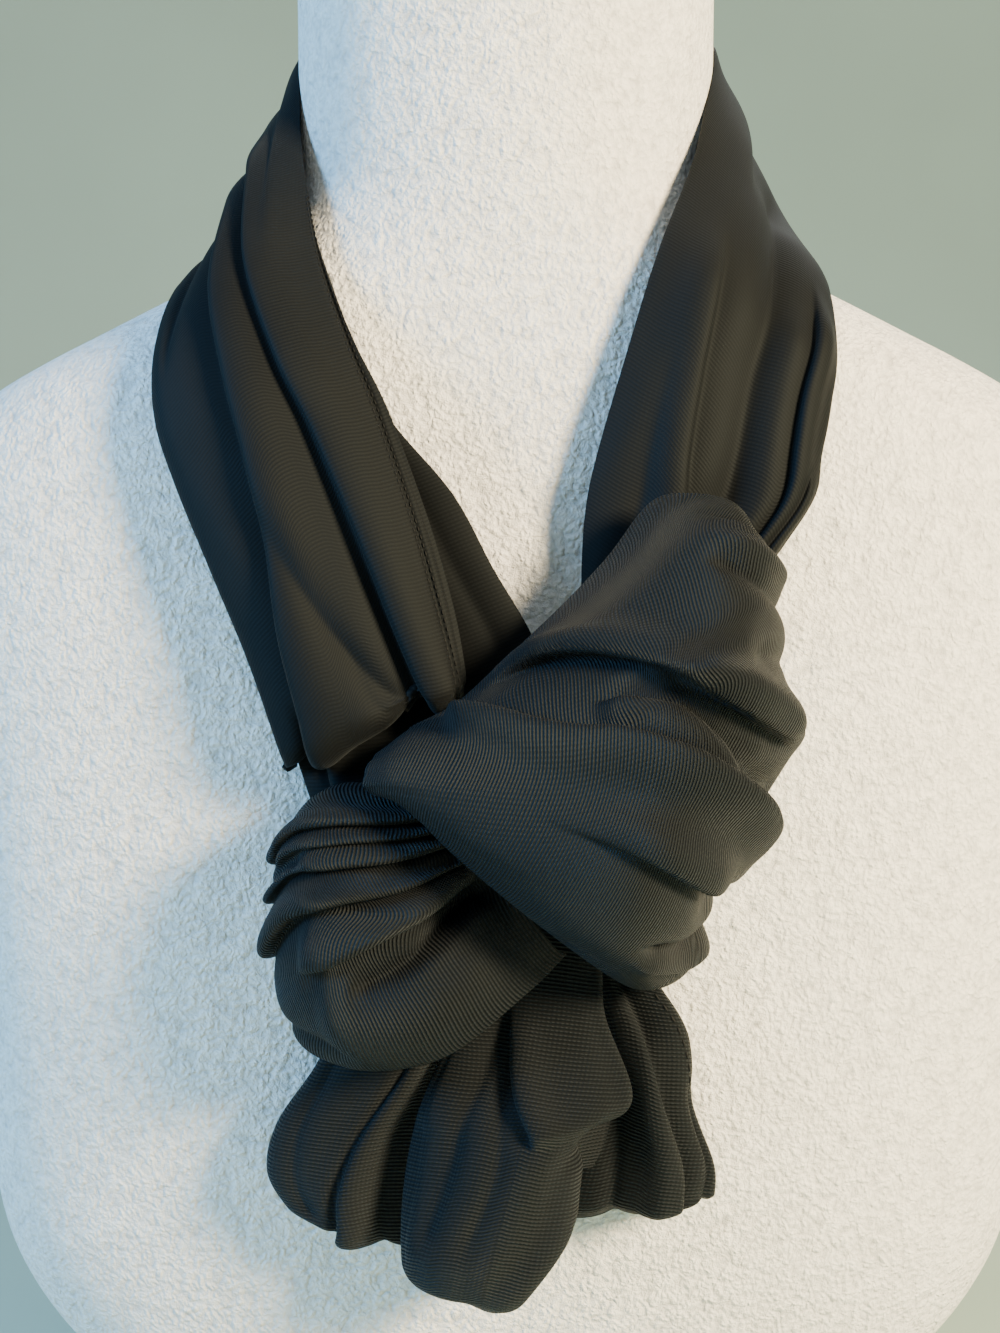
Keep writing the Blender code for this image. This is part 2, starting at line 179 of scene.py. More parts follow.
def unit(vectors: np.ndarray) -> np.ndarray:
    """Vectors made one long."""
    return vectors / np.maximum(np.linalg.norm(vectors, axis=-1, keepdims=True), TINY)


def signed_power(value: np.ndarray, power: np.ndarray) -> np.ndarray:
    """A power that keeps the sign."""
    return np.sign(value) * np.abs(value) ** power


def smooth_step(value: np.ndarray) -> np.ndarray:
    """A soft rise from 0 to 1 as the value goes from 0 to 1."""
    value = np.clip(value, 0.0, 1.0)
    return value * value * (3.0 - 2.0 * value)


def outward_normals(points: np.ndarray) -> np.ndarray:
    """Unit normals of a grid, pointing away from the bust's upright middle line.

    Args:
        points: The grid, along by across by x, y, z.

    Returns:
        One unit vector for each point.
    """
    normal = unit(np.cross(np.gradient(points, axis=0), np.gradient(points, axis=1)))
    away = points * np.array((1.0, 1.0, 0.0))
    return normal if np.sum(normal * away) > 0.0 else -normal


def soften(values: np.ndarray, passes: int) -> np.ndarray:
    """Average each value with its neighbours, half itself and a quarter each side.

    Args:
        values: A grid of values.
        passes: How many times to do it, both along and across.

    Returns:
        The softer grid; its outermost values stay.
    """
    for _ in range(passes):
        for axis in (0, 1):
            values = np.moveaxis(values, axis, 0).copy()
            values[1:-1] = 0.25 * values[:-2] + 0.5 * values[1:-1] + 0.25 * values[2:]
            values = np.moveaxis(values, 0, axis)
    return values


def grid_faces(rows: int, columns: int) -> np.ndarray:
    """Four-cornered faces of an open grid.

    Args:
        rows: Points along.
        columns: Points across.

    Returns:
        Four point numbers for each face.
    """
    number = np.arange(rows * columns).reshape(rows, columns)
    return np.stack(
        (number[:-1, :-1], number[1:, :-1], number[1:, 1:], number[:-1, 1:]), axis=-1
    ).reshape(-1, 4)


def make_object(name: str, points: np.ndarray, faces: list[list[int]],
                flat_faces: int = 0) -> bpy.types.Object:
    """A smooth-shaded mesh object from points in millimetres.

    Args:
        name: The piece's name.
        points: One row of x, y, z for each vertex.
        faces: One list of vertex numbers for each face.
        flat_faces: How many of the last faces are shaded flat.

    Returns:
        The new object, linked to the scene.
    """
    mesh = bpy.data.meshes.new(name)
    mesh.from_pydata((points.reshape(-1, 3) * MM).tolist(), [], faces)
    smooth = np.ones(len(mesh.polygons), dtype=bool)
    smooth[len(smooth) - flat_faces:] = False
    mesh.polygons.foreach_set("use_smooth", smooth)
    mesh.update()
    item = bpy.data.objects.new(name, mesh)
    bpy.context.scene.collection.objects.link(item)
    return item


def add_uv(item: bpy.types.Object, uv: np.ndarray) -> None:
    """Give a mesh one UV map.

    Args:
        item: The piece.
        uv: A pair of values for each vertex.
    """
    mesh = item.data
    corners = np.empty(len(mesh.loops), dtype=np.int32)
    mesh.loops.foreach_get("vertex_index", corners)
    layer = mesh.uv_layers.new(name="UVMap")
    layer.data.foreach_set("uv", uv.reshape(-1, 2)[corners].astype(np.float32).ravel())


# ------------------------------------------------------------------------------ finishes


class NodeBench:
    """Small helper that adds and joins the nodes of one material."""

    def __init__(self, name: str) -> None:
        """Start a material that has only its shader and output."""
        self.material = bpy.data.materials.new(name)
        self.material.use_nodes = True
        self.tree = self.material.node_tree
        self.shader = self.tree.nodes["Principled BSDF"]

    def node(self, kind: str, **settings: object) -> bpy.types.Node:
        """Add a node.

        Args:
            kind: Blender's name for the kind of node.
            settings: The node's own settings.

        Returns:
            The new node.
        """
        made = self.tree.nodes.new(kind)
        for key, value in settings.items():
            setattr(made, key, value)
        return made

    def link(self, source: bpy.types.NodeSocket, target: bpy.types.NodeSocket) -> None:
        """Join two sockets."""
        self.tree.links.new(source, target)

    def math(self, operation: str, first: object, second: object = None) -> bpy.types.NodeSocket:
        """Add a math node.

        Args:
            operation: What it does.
            first: A socket or a number.
            second: Another, where the operation takes two.

        Returns:
            The result's socket.
        """
        made = self.node("ShaderNodeMath", operation=operation)
        for socket, value in zip(made.inputs, (first, second)):
            if isinstance(value, bpy.types.NodeSocket):
                self.link(value, socket)
            elif value is not None:
                socket.default_value = value
        return made.outputs[0]

    def blend(self, *parts: tuple[bpy.types.NodeSocket, float]) -> bpy.types.NodeSocket:
        """Add up sockets, each times its own share.

        Args:
            parts: Pairs of a socket and its share.

        Returns:
            The sum's socket.
        """
        scaled = [self.math("MULTIPLY", socket, share) for socket, share in parts]
        total = scaled[-1]
        for socket in reversed(scaled[:-1]):
            total = self.math("ADD", socket, total)
        return total

    def wave(self, distance: bpy.types.NodeSocket, pitch: float,
             sway: bpy.types.NodeSocket) -> bpy.types.NodeSocket:
        """Add a cosine wave.

        Args:
            distance: Metres along the wave.
            pitch: Its length in millimetres.
            sway: A slow angle that bends it.

        Returns:
            The wave's socket, from -1 to 1.
        """
        angle = self.math("MULTIPLY", distance, FULL_TURN / (pitch * MM))
        return self.math("COSINE", self.math("ADD", angle, sway))

    def noise(self, vector: bpy.types.NodeSocket, scale: float, detail: float,
              roughness: float = 0.5) -> bpy.types.NodeSocket:
        """Add a noise texture.

        Args:
            vector: Where it is read.
            scale: How fine it is.
            detail: How many finer layers it has.
            roughness: How strong those are.

        Returns:
            The noise's value socket.
        """
        made = self.node("ShaderNodeTexNoise")
        made.inputs["Scale"].default_value = scale
        made.inputs["Detail"].default_value = detail
        made.inputs["Roughness"].default_value = roughness
        self.link(vector, made.inputs["Vector"])
        return made.outputs[0]

    def ramp(self, value: bpy.types.NodeSocket,
             stops: tuple[tuple[float, Colour], ...]) -> bpy.types.NodeSocket:
        """Add a colour ramp.

        Args:
            value: What the ramp reads.
            stops: Pairs of a place on the ramp and its colour.

        Returns:
            The colour's socket.
        """
        made = self.node("ShaderNodeValToRGB")
        elements = made.color_ramp.elements
        while len(elements) < len(stops):
            elements.new(0.5)
        for element, (place, colour) in zip(elements, stops):
            element.position = place
            element.color = (*colour, 1.0)
        self.link(value, made.inputs["Fac"])
        return made.outputs["Color"]

    def bump(self, height: bpy.types.NodeSocket, strength: float, distance: float) -> None:
        """Add a bump to the shader.

        Args:
            height: The relief.
            strength: How much of it shows.
            distance: Its full height in metres.
        """
        made = self.node("ShaderNodeBump")
        made.inputs["Strength"].default_value = strength
        made.inputs["Distance"].default_value = distance
        self.link(height, made.inputs["Height"])
        self.link(made.outputs["Normal"], self.shader.inputs["Normal"])

    def set(self, **values: object) -> None:
        """Set plain values on the shader's own sockets, named with underscores for spaces."""
        for key, value in values.items():
            self.shader.inputs[key.replace("_", " ")].default_value = value


@dataclass(frozen=True)
class JerseyFinish:
    """Fine black jersey: knitted ribs across the cloth, with a soft satin sheen.

    Pitches and depths are in millimetres; scales are Blender's, counted per metre of cloth.
    """

    name: str
    rib_pitch: float = 0.95
    course_pitch: float = 1.15
    course_depth: float = 0.14
    # groove: the colour deep in the knit's grooves, painted shade; rib: the cloth's own black
    groove_shade: Colour = (0.0008, 0.0008, 0.0010)
    rib: Colour = (0.0130, 0.0150, 0.0178)
    groove_shade_stop: float = 0.20
    rib_stop: float = 0.88
    sway_scale: float = 55.0
    sway: float = 1.6
    fibre_scale: float = 5200.0
    patch_scale: float = 34.0
    groove_shade_share: float = 0.62
    fibre_share: float = 0.22
    patch_share: float = 0.22
    fibre_relief: float = 0.25
    rib_depth: float = 0.75
    bump: float = 0.9
    painted_shade_contrast: float = 1.0
    roughness: float = 0.62
    roughness_swing: float = 0.10
    sheen: float = 0.03
    sheen_roughness: float = 0.42
    sheen_tint: Colour = (0.80, 0.90, 1.0)
    gloss: float = 0.20
    gloss_tint: Colour = (0.78, 0.92, 1.0)

    def material(self) -> bpy.types.Material:
        """Make the material.

        The ribs are a cosine of the distance along the cloth and the courses a weaker cosine
        of the distance across it; slow noise bends both lines.  The colour is darker in the grooves
        between ribs and courses, which is painted shade, and varies at random with fibre and patches.

        Returns:
            The material, patterned on the piece's own UV map, which holds metres of cloth.
        """
        bench = NodeBench(self.name)
        cloth = bench.node("ShaderNodeUVMap", uv_map="UVMap").outputs["UV"]
        parts = bench.node("ShaderNodeSeparateXYZ")
        bench.link(cloth, parts.inputs[0])
        sway = bench.math("MULTIPLY", bench.noise(cloth, self.sway_scale, 2.0), self.sway)
        along = bench.wave(parts.outputs[0], self.rib_pitch, sway)
        across = bench.wave(parts.outputs[1], self.course_pitch, sway)
        rib = bench.math("ADD", bench.math("MULTIPLY", along, 0.5), 0.5)
        course = bench.math("ADD", bench.math("MULTIPLY", across, self.course_depth),
                            1.0 - self.course_depth)
        knit = bench.math("MULTIPLY", rib, course)
        fibre = bench.noise(cloth, self.fibre_scale, 2.0, 0.6)
        patches = bench.noise(cloth, self.patch_scale, 3.0)
        # colour: painted shade in the knit's grooves, plus random fibre and patch variation
        groove_shade_and_tone = bench.blend((knit, self.groove_shade_share * self.painted_shade_contrast), (fibre, self.fibre_share),
                           (patches, self.patch_share))
        colour = bench.ramp(groove_shade_and_tone, ((self.groove_shade_stop, self.groove_shade), (self.rib_stop, self.rib)))
        bench.link(colour, bench.shader.inputs["Base Color"])
        bench.bump(bench.blend((knit, 1.0), (fibre, self.fibre_relief)), self.bump,
                   self.rib_depth * MM)
        rough = bench.math("ADD", bench.math("MULTIPLY", patches, self.roughness_swing),
                           self.roughness - 0.5 * self.roughness_swing)
        bench.link(rough, bench.shader.inputs["Roughness"])
        bench.set(Specular_IOR_Level=self.gloss, Specular_Tint=(*self.gloss_tint, 1.0),
                  Sheen_Weight=self.sheen, Sheen_Roughness=self.sheen_roughness,
                  Sheen_Tint=(*self.sheen_tint, 1.0))
        bench.material.diffuse_color = (*self.rib, 1.0)
        return bench.material


@dataclass(frozen=True)
class PlushFinish:
    """White short-pile plush: small matted tufts, their size and depth in millimetres."""

    name: str = "white_plush_pile"
    tuft: float = 1.4
    tuft_softness: float = 0.7
    depth: float = 2.0
    bump: float = 0.85
    pale: Colour = (0.95, 0.95, 0.93)
    # shade: the colour of the low places between tufts, painted shade
    shade: Colour = (0.50, 0.51, 0.52)
    shade_stop: float = 0.30
    pale_stop: float = 0.72
    painted_shade_contrast: float = 0.72
    warp_scale: float = 210.0
    warp: float = 3.5
    matted_scale: float = 240.0
    fibre_scale: float = 2600.0
    tuft_share: float = 0.5
    matted_share: float = 0.9
    fibre_share: float = 0.25

    def material(self) -> bpy.types.Material:
        """Make the material: relief of tuft cells, matted patches and fine fibre; the colour follows
        the relief, darker in the low places as painted shade between tufts and at random in patches.

        Returns:
            The material, patterned on the piece's own coordinates.
        """
        bench = NodeBench(self.name)
        place = bench.node("ShaderNodeTexCoord").outputs["Object"]
        bent = bench.node("ShaderNodeVectorMath", operation="MULTIPLY_ADD")
        warp = bench.node("ShaderNodeTexNoise")
        warp.inputs["Scale"].default_value = self.warp_scale
        bench.link(place, warp.inputs["Vector"])
        bench.link(warp.outputs["Color"], bent.inputs[0])
        bent.inputs[1].default_value = (self.warp * MM,) * 3
        bench.link(place, bent.inputs[2])
        cells = bench.node("ShaderNodeTexVoronoi", feature="SMOOTH_F1")
        cells.inputs["Scale"].default_value = 1.0 / (self.tuft * MM)
        cells.inputs["Smoothness"].default_value = self.tuft_softness
        bench.link(bent.outputs[0], cells.inputs["Vector"])
        tufts = bench.math("SUBTRACT", 1.0, cells.outputs["Distance"])
        matted = bench.noise(place, self.matted_scale, 4.0, 0.62)
        fibre = bench.noise(place, self.fibre_scale, 2.0, 0.6)
        relief = bench.blend((tufts, self.tuft_share), (matted, self.matted_share),
                             (fibre, self.fibre_share))
        # colour darkens with the relief: painted shade between tufts, random in the matted patches
        colour = bench.ramp(bench.math("MULTIPLY", relief, self.painted_shade_contrast),
                            ((self.shade_stop, self.shade), (self.pale_stop, self.pale)))
        bench.link(colour, bench.shader.inputs["Base Color"])
        bench.bump(relief, self.bump, self.depth * MM)
        bench.set(Roughness=0.95, Specular_IOR_Level=0.15, Sheen_Weight=0.25,
                  Sheen_Roughness=0.6)
        bench.material.diffuse_color = (*self.pale, 1.0)
        return bench.material


@dataclass(frozen=True)
class PlainFinish:
    """One even matt colour with a faint mottle, for the floor and small threads."""

    name: str
    colour: Colour
    roughness: float = 0.8
    mottle: float = 6.0

    def material(self) -> bpy.types.Material:
        """Make the material.

        Returns:
            The material, mottled on the piece's own coordinates.
        """
        bench = NodeBench(self.name)
        place = bench.node("ShaderNodeTexCoord").outputs["Object"]
        darker = tuple(0.95 * part for part in self.colour)
        colour = bench.ramp(bench.noise(place, self.mottle, 3.0),
                            ((0.3, darker), (0.7, self.colour)))
        bench.link(colour, bench.shader.inputs["Base Color"])
        bench.set(Roughness=self.roughness, Specular_IOR_Level=0.2)
        bench.material.diffuse_color = (*self.colour, 1.0)
        return bench.material


# ------------------------------------------------------------------------- cloth stretches


def valley_profile(apart: np.ndarray) -> np.ndarray:
    """A crease whose sides rise again exponentially from a slightly rounded bottom."""
    return -np.exp(-VALLEY_FALL * (np.sqrt(apart ** 2 + VALLEY_ROUND ** 2) - VALLEY_ROUND))


def lap_profile(side: np.ndarray) -> np.ndarray:
    """A steep step down at 0 that eases back to nothing on both sides.

    Args:
        side: Distance from the fold's line, in fold widths; the upper cloth is where it is below 0.

    Returns:
        The lift, as a share of the fold's height.
    """
    step = 1.0 / (1.0 + np.exp(np.clip(LAP_STEEP * side, -LAP_STEEP_LIMIT, LAP_STEEP_LIMIT)))
    upper = LAP_TOP * step * np.exp(-((side + LAP_SHIFT) / LAP_REACH) ** 2)
    return upper - LAP_FOOT * (1.0 - step) * np.exp(-np.maximum(side, 0.0) / LAP_FOOT_REACH)


@dataclass
class ClothStretch:
    """One stretch of the scarf: its sections, its folds and how finely it is made.

    The lean is how far the ribs turn off square, in degrees, read across the stretch.  The grid
    and the places across it are worked out by shape().
    """

    node: str
    sections: tuple[Section, ...]
    folds: tuple[Fold, ...]
    along: int
    across: int
    first_edge: Edge
    last_edge: Edge
    flat: tuple[float, float]
    held: str
    rests_on: tuple[str, ...]
    seed: int
    ripple: float = 0.16
    lean: tuple[float, ...] = (0.0, 0.0)
    part: str = ""
    grid: Optional[np.ndarray] = field(default=None, repr=False)
    places: Optional[np.ndarray] = field(default=None, repr=False)

    @property
    def name(self) -> str:
        """The piece's name."""
        return (self.part or self.node) + "_cloth"

    def rolled_edge(self, edge: Edge, curve: np.ndarray, index: int,
                    rise: np.ndarray) -> list[np.ndarray]:
        """Points of a round roll that carries on from one end of the half oval.

        The roll leaves along the section's own direction and turns towards the bust: each point
        is the end, plus the radius times (sine forwards, one minus cosine inwards).

        Args:
            edge: The roll's radius and sweep.
            curve: The section points, along by across by xyz.
            index: 0 for the first column, -1 for the last.
            rise: The vector from each section's middle to its crest.

        Returns:
            One column of points for each step of the roll.
        """
        beside = 1 if index == 0 else -2
        ahead = unit(curve[:, index] - curve[:, beside])
        out = unit(rise - np.sum(rise * ahead, axis=-1, keepdims=True) * ahead)
        away = np.sum(out[:, :2] * curve[:, index, :2], axis=-1, keepdims=True)
        out = np.where(away < 0.0, -out, out)
        turns = np.radians(edge.sweep) * np.arange(1, ROLL_STEPS + 1) / ROLL_STEPS
        return [
            curve[:, index] + edge.radius * (ahead * math.sin(turn) - out * (1.0 - math.cos(turn)))
            for turn in turns
        ]

    def base(self) -> None:
        """Loft the half-oval sections into the grid, before any fold.

        A section point is the middle, plus the half width times the cosine, plus the rise times
        the sine, of an angle that runs from one edge to the other.
        """
        rows = np.array([[piece.start, piece.crest, piece.stop] for piece in self.sections])
        place = np.linspace(0.0, len(rows) - 1.0, self.along)
        start, crest, stop = np.moveaxis(spline(rows, place), 1, 0)
        middle, half = 0.5 * (start + stop), 0.5 * (start - stop)
        rise = crest - middle
        first, last = self.first_edge, self.last_edge
        share = np.linspace(0.0, 1.0, self.across)
        angle = np.radians(first.leaves + (180.0 - first.leaves - last.leaves) * share)
        ends = 0.5 * (math.cos(math.radians(first.leaves)) + math.cos(math.radians(last.leaves)))
        curve = (middle[:, None] + half[:, None] * np.cos(angle)[None, :, None] / ends
                 + rise[:, None] * np.sin(angle)[None, :, None])
        columns, places = [curve[:, index] for index in range(self.across)], share.tolist()
        beyond = [ROLL_ACROSS * (index + 1) for index in range(ROLL_STEPS)]
        if first.radius > 0.0:
            columns = self.rolled_edge(first, curve, 0, rise)[::-1] + columns
            places = [-place for place in beyond[::-1]] + places
        if last.radius > 0.0:
            columns += self.rolled_edge(last, curve, -1, rise)
            places += [1.0 + place for place in beyond]
        self.grid, self.places = np.stack(columns, axis=1), np.array(places)

    def widths(self) -> np.ndarray:
        """Length of cloth across each section, in millimetres."""
        steps = np.linalg.norm(np.diff(self.grid, axis=1), axis=2)
        return np.sum(steps, axis=1) / (self.places[-1] - self.places[0])

    def fold_move(self, fold: Fold) -> tuple[np.ndarray, np.ndarray]:
        """How far one fold lifts the cloth and slides it across, over the whole grid.

        The distance from the fold's line is taken in widths of the fold.  A ridge is a bell
        curve.  The cloth slides beside a lap's step, by the fold's hang, to make it hang over.

        Args:
            fold: The fold to work out.

        Returns:
            Lift and slide in millimetres, along by across.
        """
        along = np.linspace(0.0, 1.0, self.along)
        share = np.clip((along - fold.begins) / (fold.ends - fold.begins), 0.0, 1.0)
        line = spline(np.array(fold.line), share * (len(fold.line) - 1.0))
        fade = (smooth_step((along - fold.begins) / fold.fade)
                * smooth_step((fold.ends - along) / fold.fade))
        last_width = fold.width if fold.last_width is None else fold.last_width
        last_height = fold.height if fold.last_height is None else fold.last_height
        width = (fold.width + (last_width - fold.width) * share)[:, None]
        height = (fold.height + (last_height - fold.height) * share) * fade
        apart = (self.places[None, :] - line[:, None]) * self.widths()[:, None] / width
        slide = np.zeros_like(apart)
        if fold.shape is Shape.RIDGE:
            profile = np.exp(-apart ** 2)
        elif fold.shape is Shape.VALLEY:
            profile = valley_profile(apart)
        else:
            turn = 1.0 if fold.shape is Shape.LAP else -1.0
            side = turn * apart
            profile = lap_profile(side)
            slide = (-turn * fold.hang * np.tanh(HANG_STEEP * side)
                     * np.exp(-(HANG_REACH * side) ** 2))
        return height[:, None] * profile, height[:, None] * slide

    def ripples(self) -> np.ndarray:
        """Small uneven waves in the cloth: a few slow sines drawn from a fixed seed.

        Returns:
            Their height in millimetres, along by across.
        """
        draw = np.random.default_rng(self.seed)
        length = np.linalg.norm(np.diff(self.grid[:, self.across // 2], axis=0), axis=1).sum()
        along = np.linspace(0.0, length, self.along)[:, None]
        across = self.places[None, :] * float(np.mean(self.widths()))
        height = np.zeros((self.along, len(self.places)))
        for _ in range(RIPPLES):
            long_wave, short_wave = draw.uniform(*LONG_WAVE), draw.uniform(*SHORT_WAVE)
            slant, start = draw.uniform(*RIPPLE_SLANT), draw.uniform(0.0, FULL_TURN)
            phase = FULL_TURN * ((across + slant * along) / short_wave + along / long_wave)
            height += np.sin(phase + start) * draw.uniform(*RIPPLE_STRENGTH) / RIPPLE_SHARE
        return self.ripple * height

    def shape(self) -> None:
        """Work out the folded surface."""
        self.base()
        moves = [self.fold_move(fold) for fold in self.folds]
        lift = soften(self.ripples() + sum(move[0] for move in moves), 1)
        slide = sum(move[1] for move in moves)
        across = unit(np.gradient(self.grid, axis=1))
        self.grid = (self.grid + outward_normals(self.grid) * lift[:, :, None]
                     + across * slide[:, :, None])

    def cloth_uv(self) -> np.ndarray:
        """Metres of cloth along and across, for the knit.

        Returns:
            A pair for each point of the grid.
        """
        steps = np.linalg.norm(np.diff(self.grid, axis=0), axis=2)
        steps = soften(steps, 6)
        along = np.concatenate((np.zeros((1, steps.shape[1])), np.cumsum(steps, axis=0)))
        steps = np.linalg.norm(np.diff(self.grid, axis=1), axis=2)
        across = np.concatenate((np.zeros((self.along, 1)), np.cumsum(steps, axis=1)), axis=1)
        across -= across[:, across.shape[1] // 2][:, None]
        slope = np.tan(np.radians(spline(np.array(self.lean), np.clip(self.places, 0.0, 1.0)
                                         * (len(self.lean) - 1.0))))
        along = along + np.cumsum(slope[None, :] * np.gradient(across, axis=1), axis=1)
        return np.stack((along, across), axis=-1) * MM

    def build(self, finish: bpy.types.Material) -> bpy.types.Object:
        """Make the shell, give it its thickness and hide the CAD part it stands in for.

        Args:
            finish: The jersey.

        Returns:
            The finished piece.
        """
        self.shape()
        rows, columns = self.grid.shape[:2]
        faces = grid_faces(rows, columns)
        first, second = self.grid[1, 0] - self.grid[0, 0], self.grid[0, 1] - self.grid[0, 0]
        if np.dot(np.cross(first, second), outward_normals(self.grid)[0, 0]) < 0.0:
            faces = faces[:, ::-1]
        item = make_object(self.name, self.grid, faces.tolist())
        add_uv(item, self.cloth_uv())
        wall = item.modifiers.new("thickness", "SOLIDIFY")
        wall.thickness = SHELL * MM
        wall.offset = -1.0
        item.data.materials.append(finish)
        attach(item, BODY)
        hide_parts(self.node)
        log.info("%s: %d by %d", self.name, rows, columns)
        return item


@dataclass
class StitchRow:
    """A row of small raised stitches lying on one stretch of cloth."""

    name: str
    stretch: ClothStretch
    begins: float
    ends: float
    line: tuple[float, ...]
    beside: float
    count: int
    length: float
    radius: float
    around: int = 6
    rings: int = 5

    def path(self) -> tuple[np.ndarray, np.ndarray]:
        """Walk along the row, reading the cloth's own points.

        Returns:
            Middles in millimetres, and the unit vector out of the cloth at each.
        """
        cloth = self.stretch
        share = np.linspace(0.0, 1.0, PATH_STEPS * self.count)
        across = spline(np.array(self.line), share * (len(self.line) - 1.0))
        row = (self.begins + (self.ends - self.begins) * share) * (cloth.along - 1.0)
        column = np.interp(across, cloth.places, np.arange(len(cloth.places), dtype=float))
        column += self.beside * cloth.across / cloth.widths()[row.astype(int)]
        column = np.clip(column, 0.0, len(cloth.places) - 2.0)
        low_row, low_column = row.astype(int), column.astype(int)
        high_row = np.minimum(low_row + 1, cloth.along - 1)
        part, over = (row - low_row)[:, None], (column - low_column)[:, None]
        normals = outward_normals(cloth.grid)
        found = [
            (1.0 - part) * ((1.0 - over) * grid[low_row, low_column]
                            + over * grid[low_row, low_column + 1])
            + part * ((1.0 - over) * grid[high_row, low_column]
                      + over * grid[high_row, low_column + 1])
            for grid in (cloth.grid, normals)
        ]
        return found[0], unit(found[1])

    def build(self, finish: bpy.types.Material) -> bpy.types.Object:
        """Make all the row's stitches as one piece.

        Each stitch is a capsule: rings along the path whose radius follows a half circle.

        Args:
            finish: The thread.

        Returns:
            The finished piece.
        """
        middles, outs = self.path()
        steps = np.linalg.norm(np.diff(middles, axis=0), axis=1)
        reach = np.concatenate(([0.0], np.cumsum(steps)))
        starts = np.linspace(0.0, reach[-1] - self.length, self.count)
        inside = 0.5 - 0.5 * np.cos(np.linspace(0.0, math.pi, self.rings))
        at = starts[:, None] + self.length * inside[None, :]
        middle = np.stack([np.interp(at, reach, middles[:, axis]) for axis in range(3)], axis=-1)
        out = unit(np.stack([np.interp(at, reach, outs[:, axis]) for axis in range(3)], axis=-1))
        ahead = unit(np.gradient(middle, axis=1))
        aside = np.cross(out, ahead)
        thick = self.radius * np.sqrt(np.maximum(4.0 * inside * (1.0 - inside), STITCH_TIP))
        turn = np.linspace(0.0, FULL_TURN, self.around, endpoint=False)
        ring = (np.cos(turn)[:, None] * out[:, :, None] + np.sin(turn)[:, None] * aside[:, :, None])
        points = (middle[:, :, None] + STITCH_PROUD * self.radius * out[:, :, None]
                  + thick[None, :, None, None] * ring)
        number = np.arange(points[..., 0].size).reshape(points.shape[:3])
        beside = np.roll(number, -1, axis=2)
        faces = np.stack((number[:, :-1], number[:, 1:], beside[:, 1:], beside[:, :-1]), axis=-1)
        item = make_object(self.name, points, faces.reshape(-1, 4).tolist())
        item.data.materials.append(finish)
        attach(item, BODY)
        return item


# ------------------------------------------------------------------------------- the bust


class BustRow(NamedTuple):
    """One level of the display bust."""

    z: float
    half_width: float
    front: float
    back: float


@dataclass
class DisplayBust:
    """Limbless white plush bust that the scarf is shown on."""

    rows: tuple[BustRow, ...]
    levels: int = 190
    segments: int = 220
    neck_power: float = 2.0
    chest_power: float = 2.5
    neck_from: float = 330.0
    chest_to: float = 290.0

    def build(self, finish: bpy.types.Material) -> bpy.types.Object:
        """Make the bust: oval rings whose power eases from the chest's to the neck's.

        Args:
            finish: The plush.

        Returns:
            The finished piece.
        """
        table = np.array(self.rows, dtype=float)
        rows = spline(table, np.linspace(0.0, len(table) - 1.0, self.levels))
        angle = np.linspace(0.0, FULL_TURN, self.segments, endpoint=False)
        blend = smooth_step((rows[:, 0] - self.chest_to) / (self.neck_from - self.chest_to))
        power = (self.chest_power + (self.neck_power - self.chest_power) * blend)[:, None]
        out = signed_power(np.cos(angle)[None, :], 2.0 / power)
        deep = signed_power(np.sin(angle)[None, :], 2.0 / power)
        depth = np.where(deep < 0.0, rows[:, 2:3], rows[:, 3:4])
        height = np.broadcast_to(rows[:, :1], out.shape)
        points = np.stack((rows[:, 1:2] * out, depth * deep, height), axis=-1)
        number = np.arange(self.levels * self.segments).reshape(self.levels, self.segments)
        beside = np.roll(number, -1, axis=1)
        quads = np.stack((number[:-1], beside[:-1], beside[1:], number[1:]), axis=-1)
        faces = quads.reshape(-1, 4).tolist()
        faces += [number[0, ::-1].tolist(), number[-1].tolist()]
        item = make_object("display_bust_plush", points, faces, flat_faces=2)
        item.data.materials.append(finish)
        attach(item, BODY)
        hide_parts("display_bust")
        log.info("display bust: %d levels", self.levels)
        return item


BUST_ROWS = (
    # height, half width, depth to the front, depth to the back
    BustRow(0, 68, 52, 50),
    BustRow(4, 92, 57, 53),
    BustRow(14, 111, 61, 56),
    BustRow(30, 126, 64, 58),
    BustRow(50, 136, 67, 60),
    BustRow(75, 140, 69, 61),
    BustRow(110, 142, 70, 62),
    BustRow(150, 146, 69, 62),
    BustRow(195, 151, 67, 60),
    BustRow(230, 154.5, 63.5, 58),
    BustRow(248, 154, 61, 57),
    BustRow(258, 150, 60, 56),
    BustRow(266, 143, 59, 55.5),
    BustRow(274, 133, 58, 55),
    BustRow(282, 119, 57, 54.5),
    BustRow(289, 105, 56, 54),
    BustRow(295, 93, 55, 54),
    BustRow(300, 83, 54.5, 53.5),
    BustRow(306, 72, 54, 53),
    BustRow(313, 63, 53.5, 53),
    BustRow(322, 57, 53, 53),
    BustRow(334, 54.3, 53, 53),
    BustRow(365, 54, 53, 53),
    BustRow(398, 54, 53, 53),
    BustRow(408, 52, 51, 51),
    BustRow(414, 46, 45, 45),
    BustRow(417, 36, 35, 35),
)

# the four kinds of fold, in one letter each for the tables below
V, R, L, U = Shape.VALLEY, Shape.RIDGE, Shape.LAP, Shape.UNDERLAP

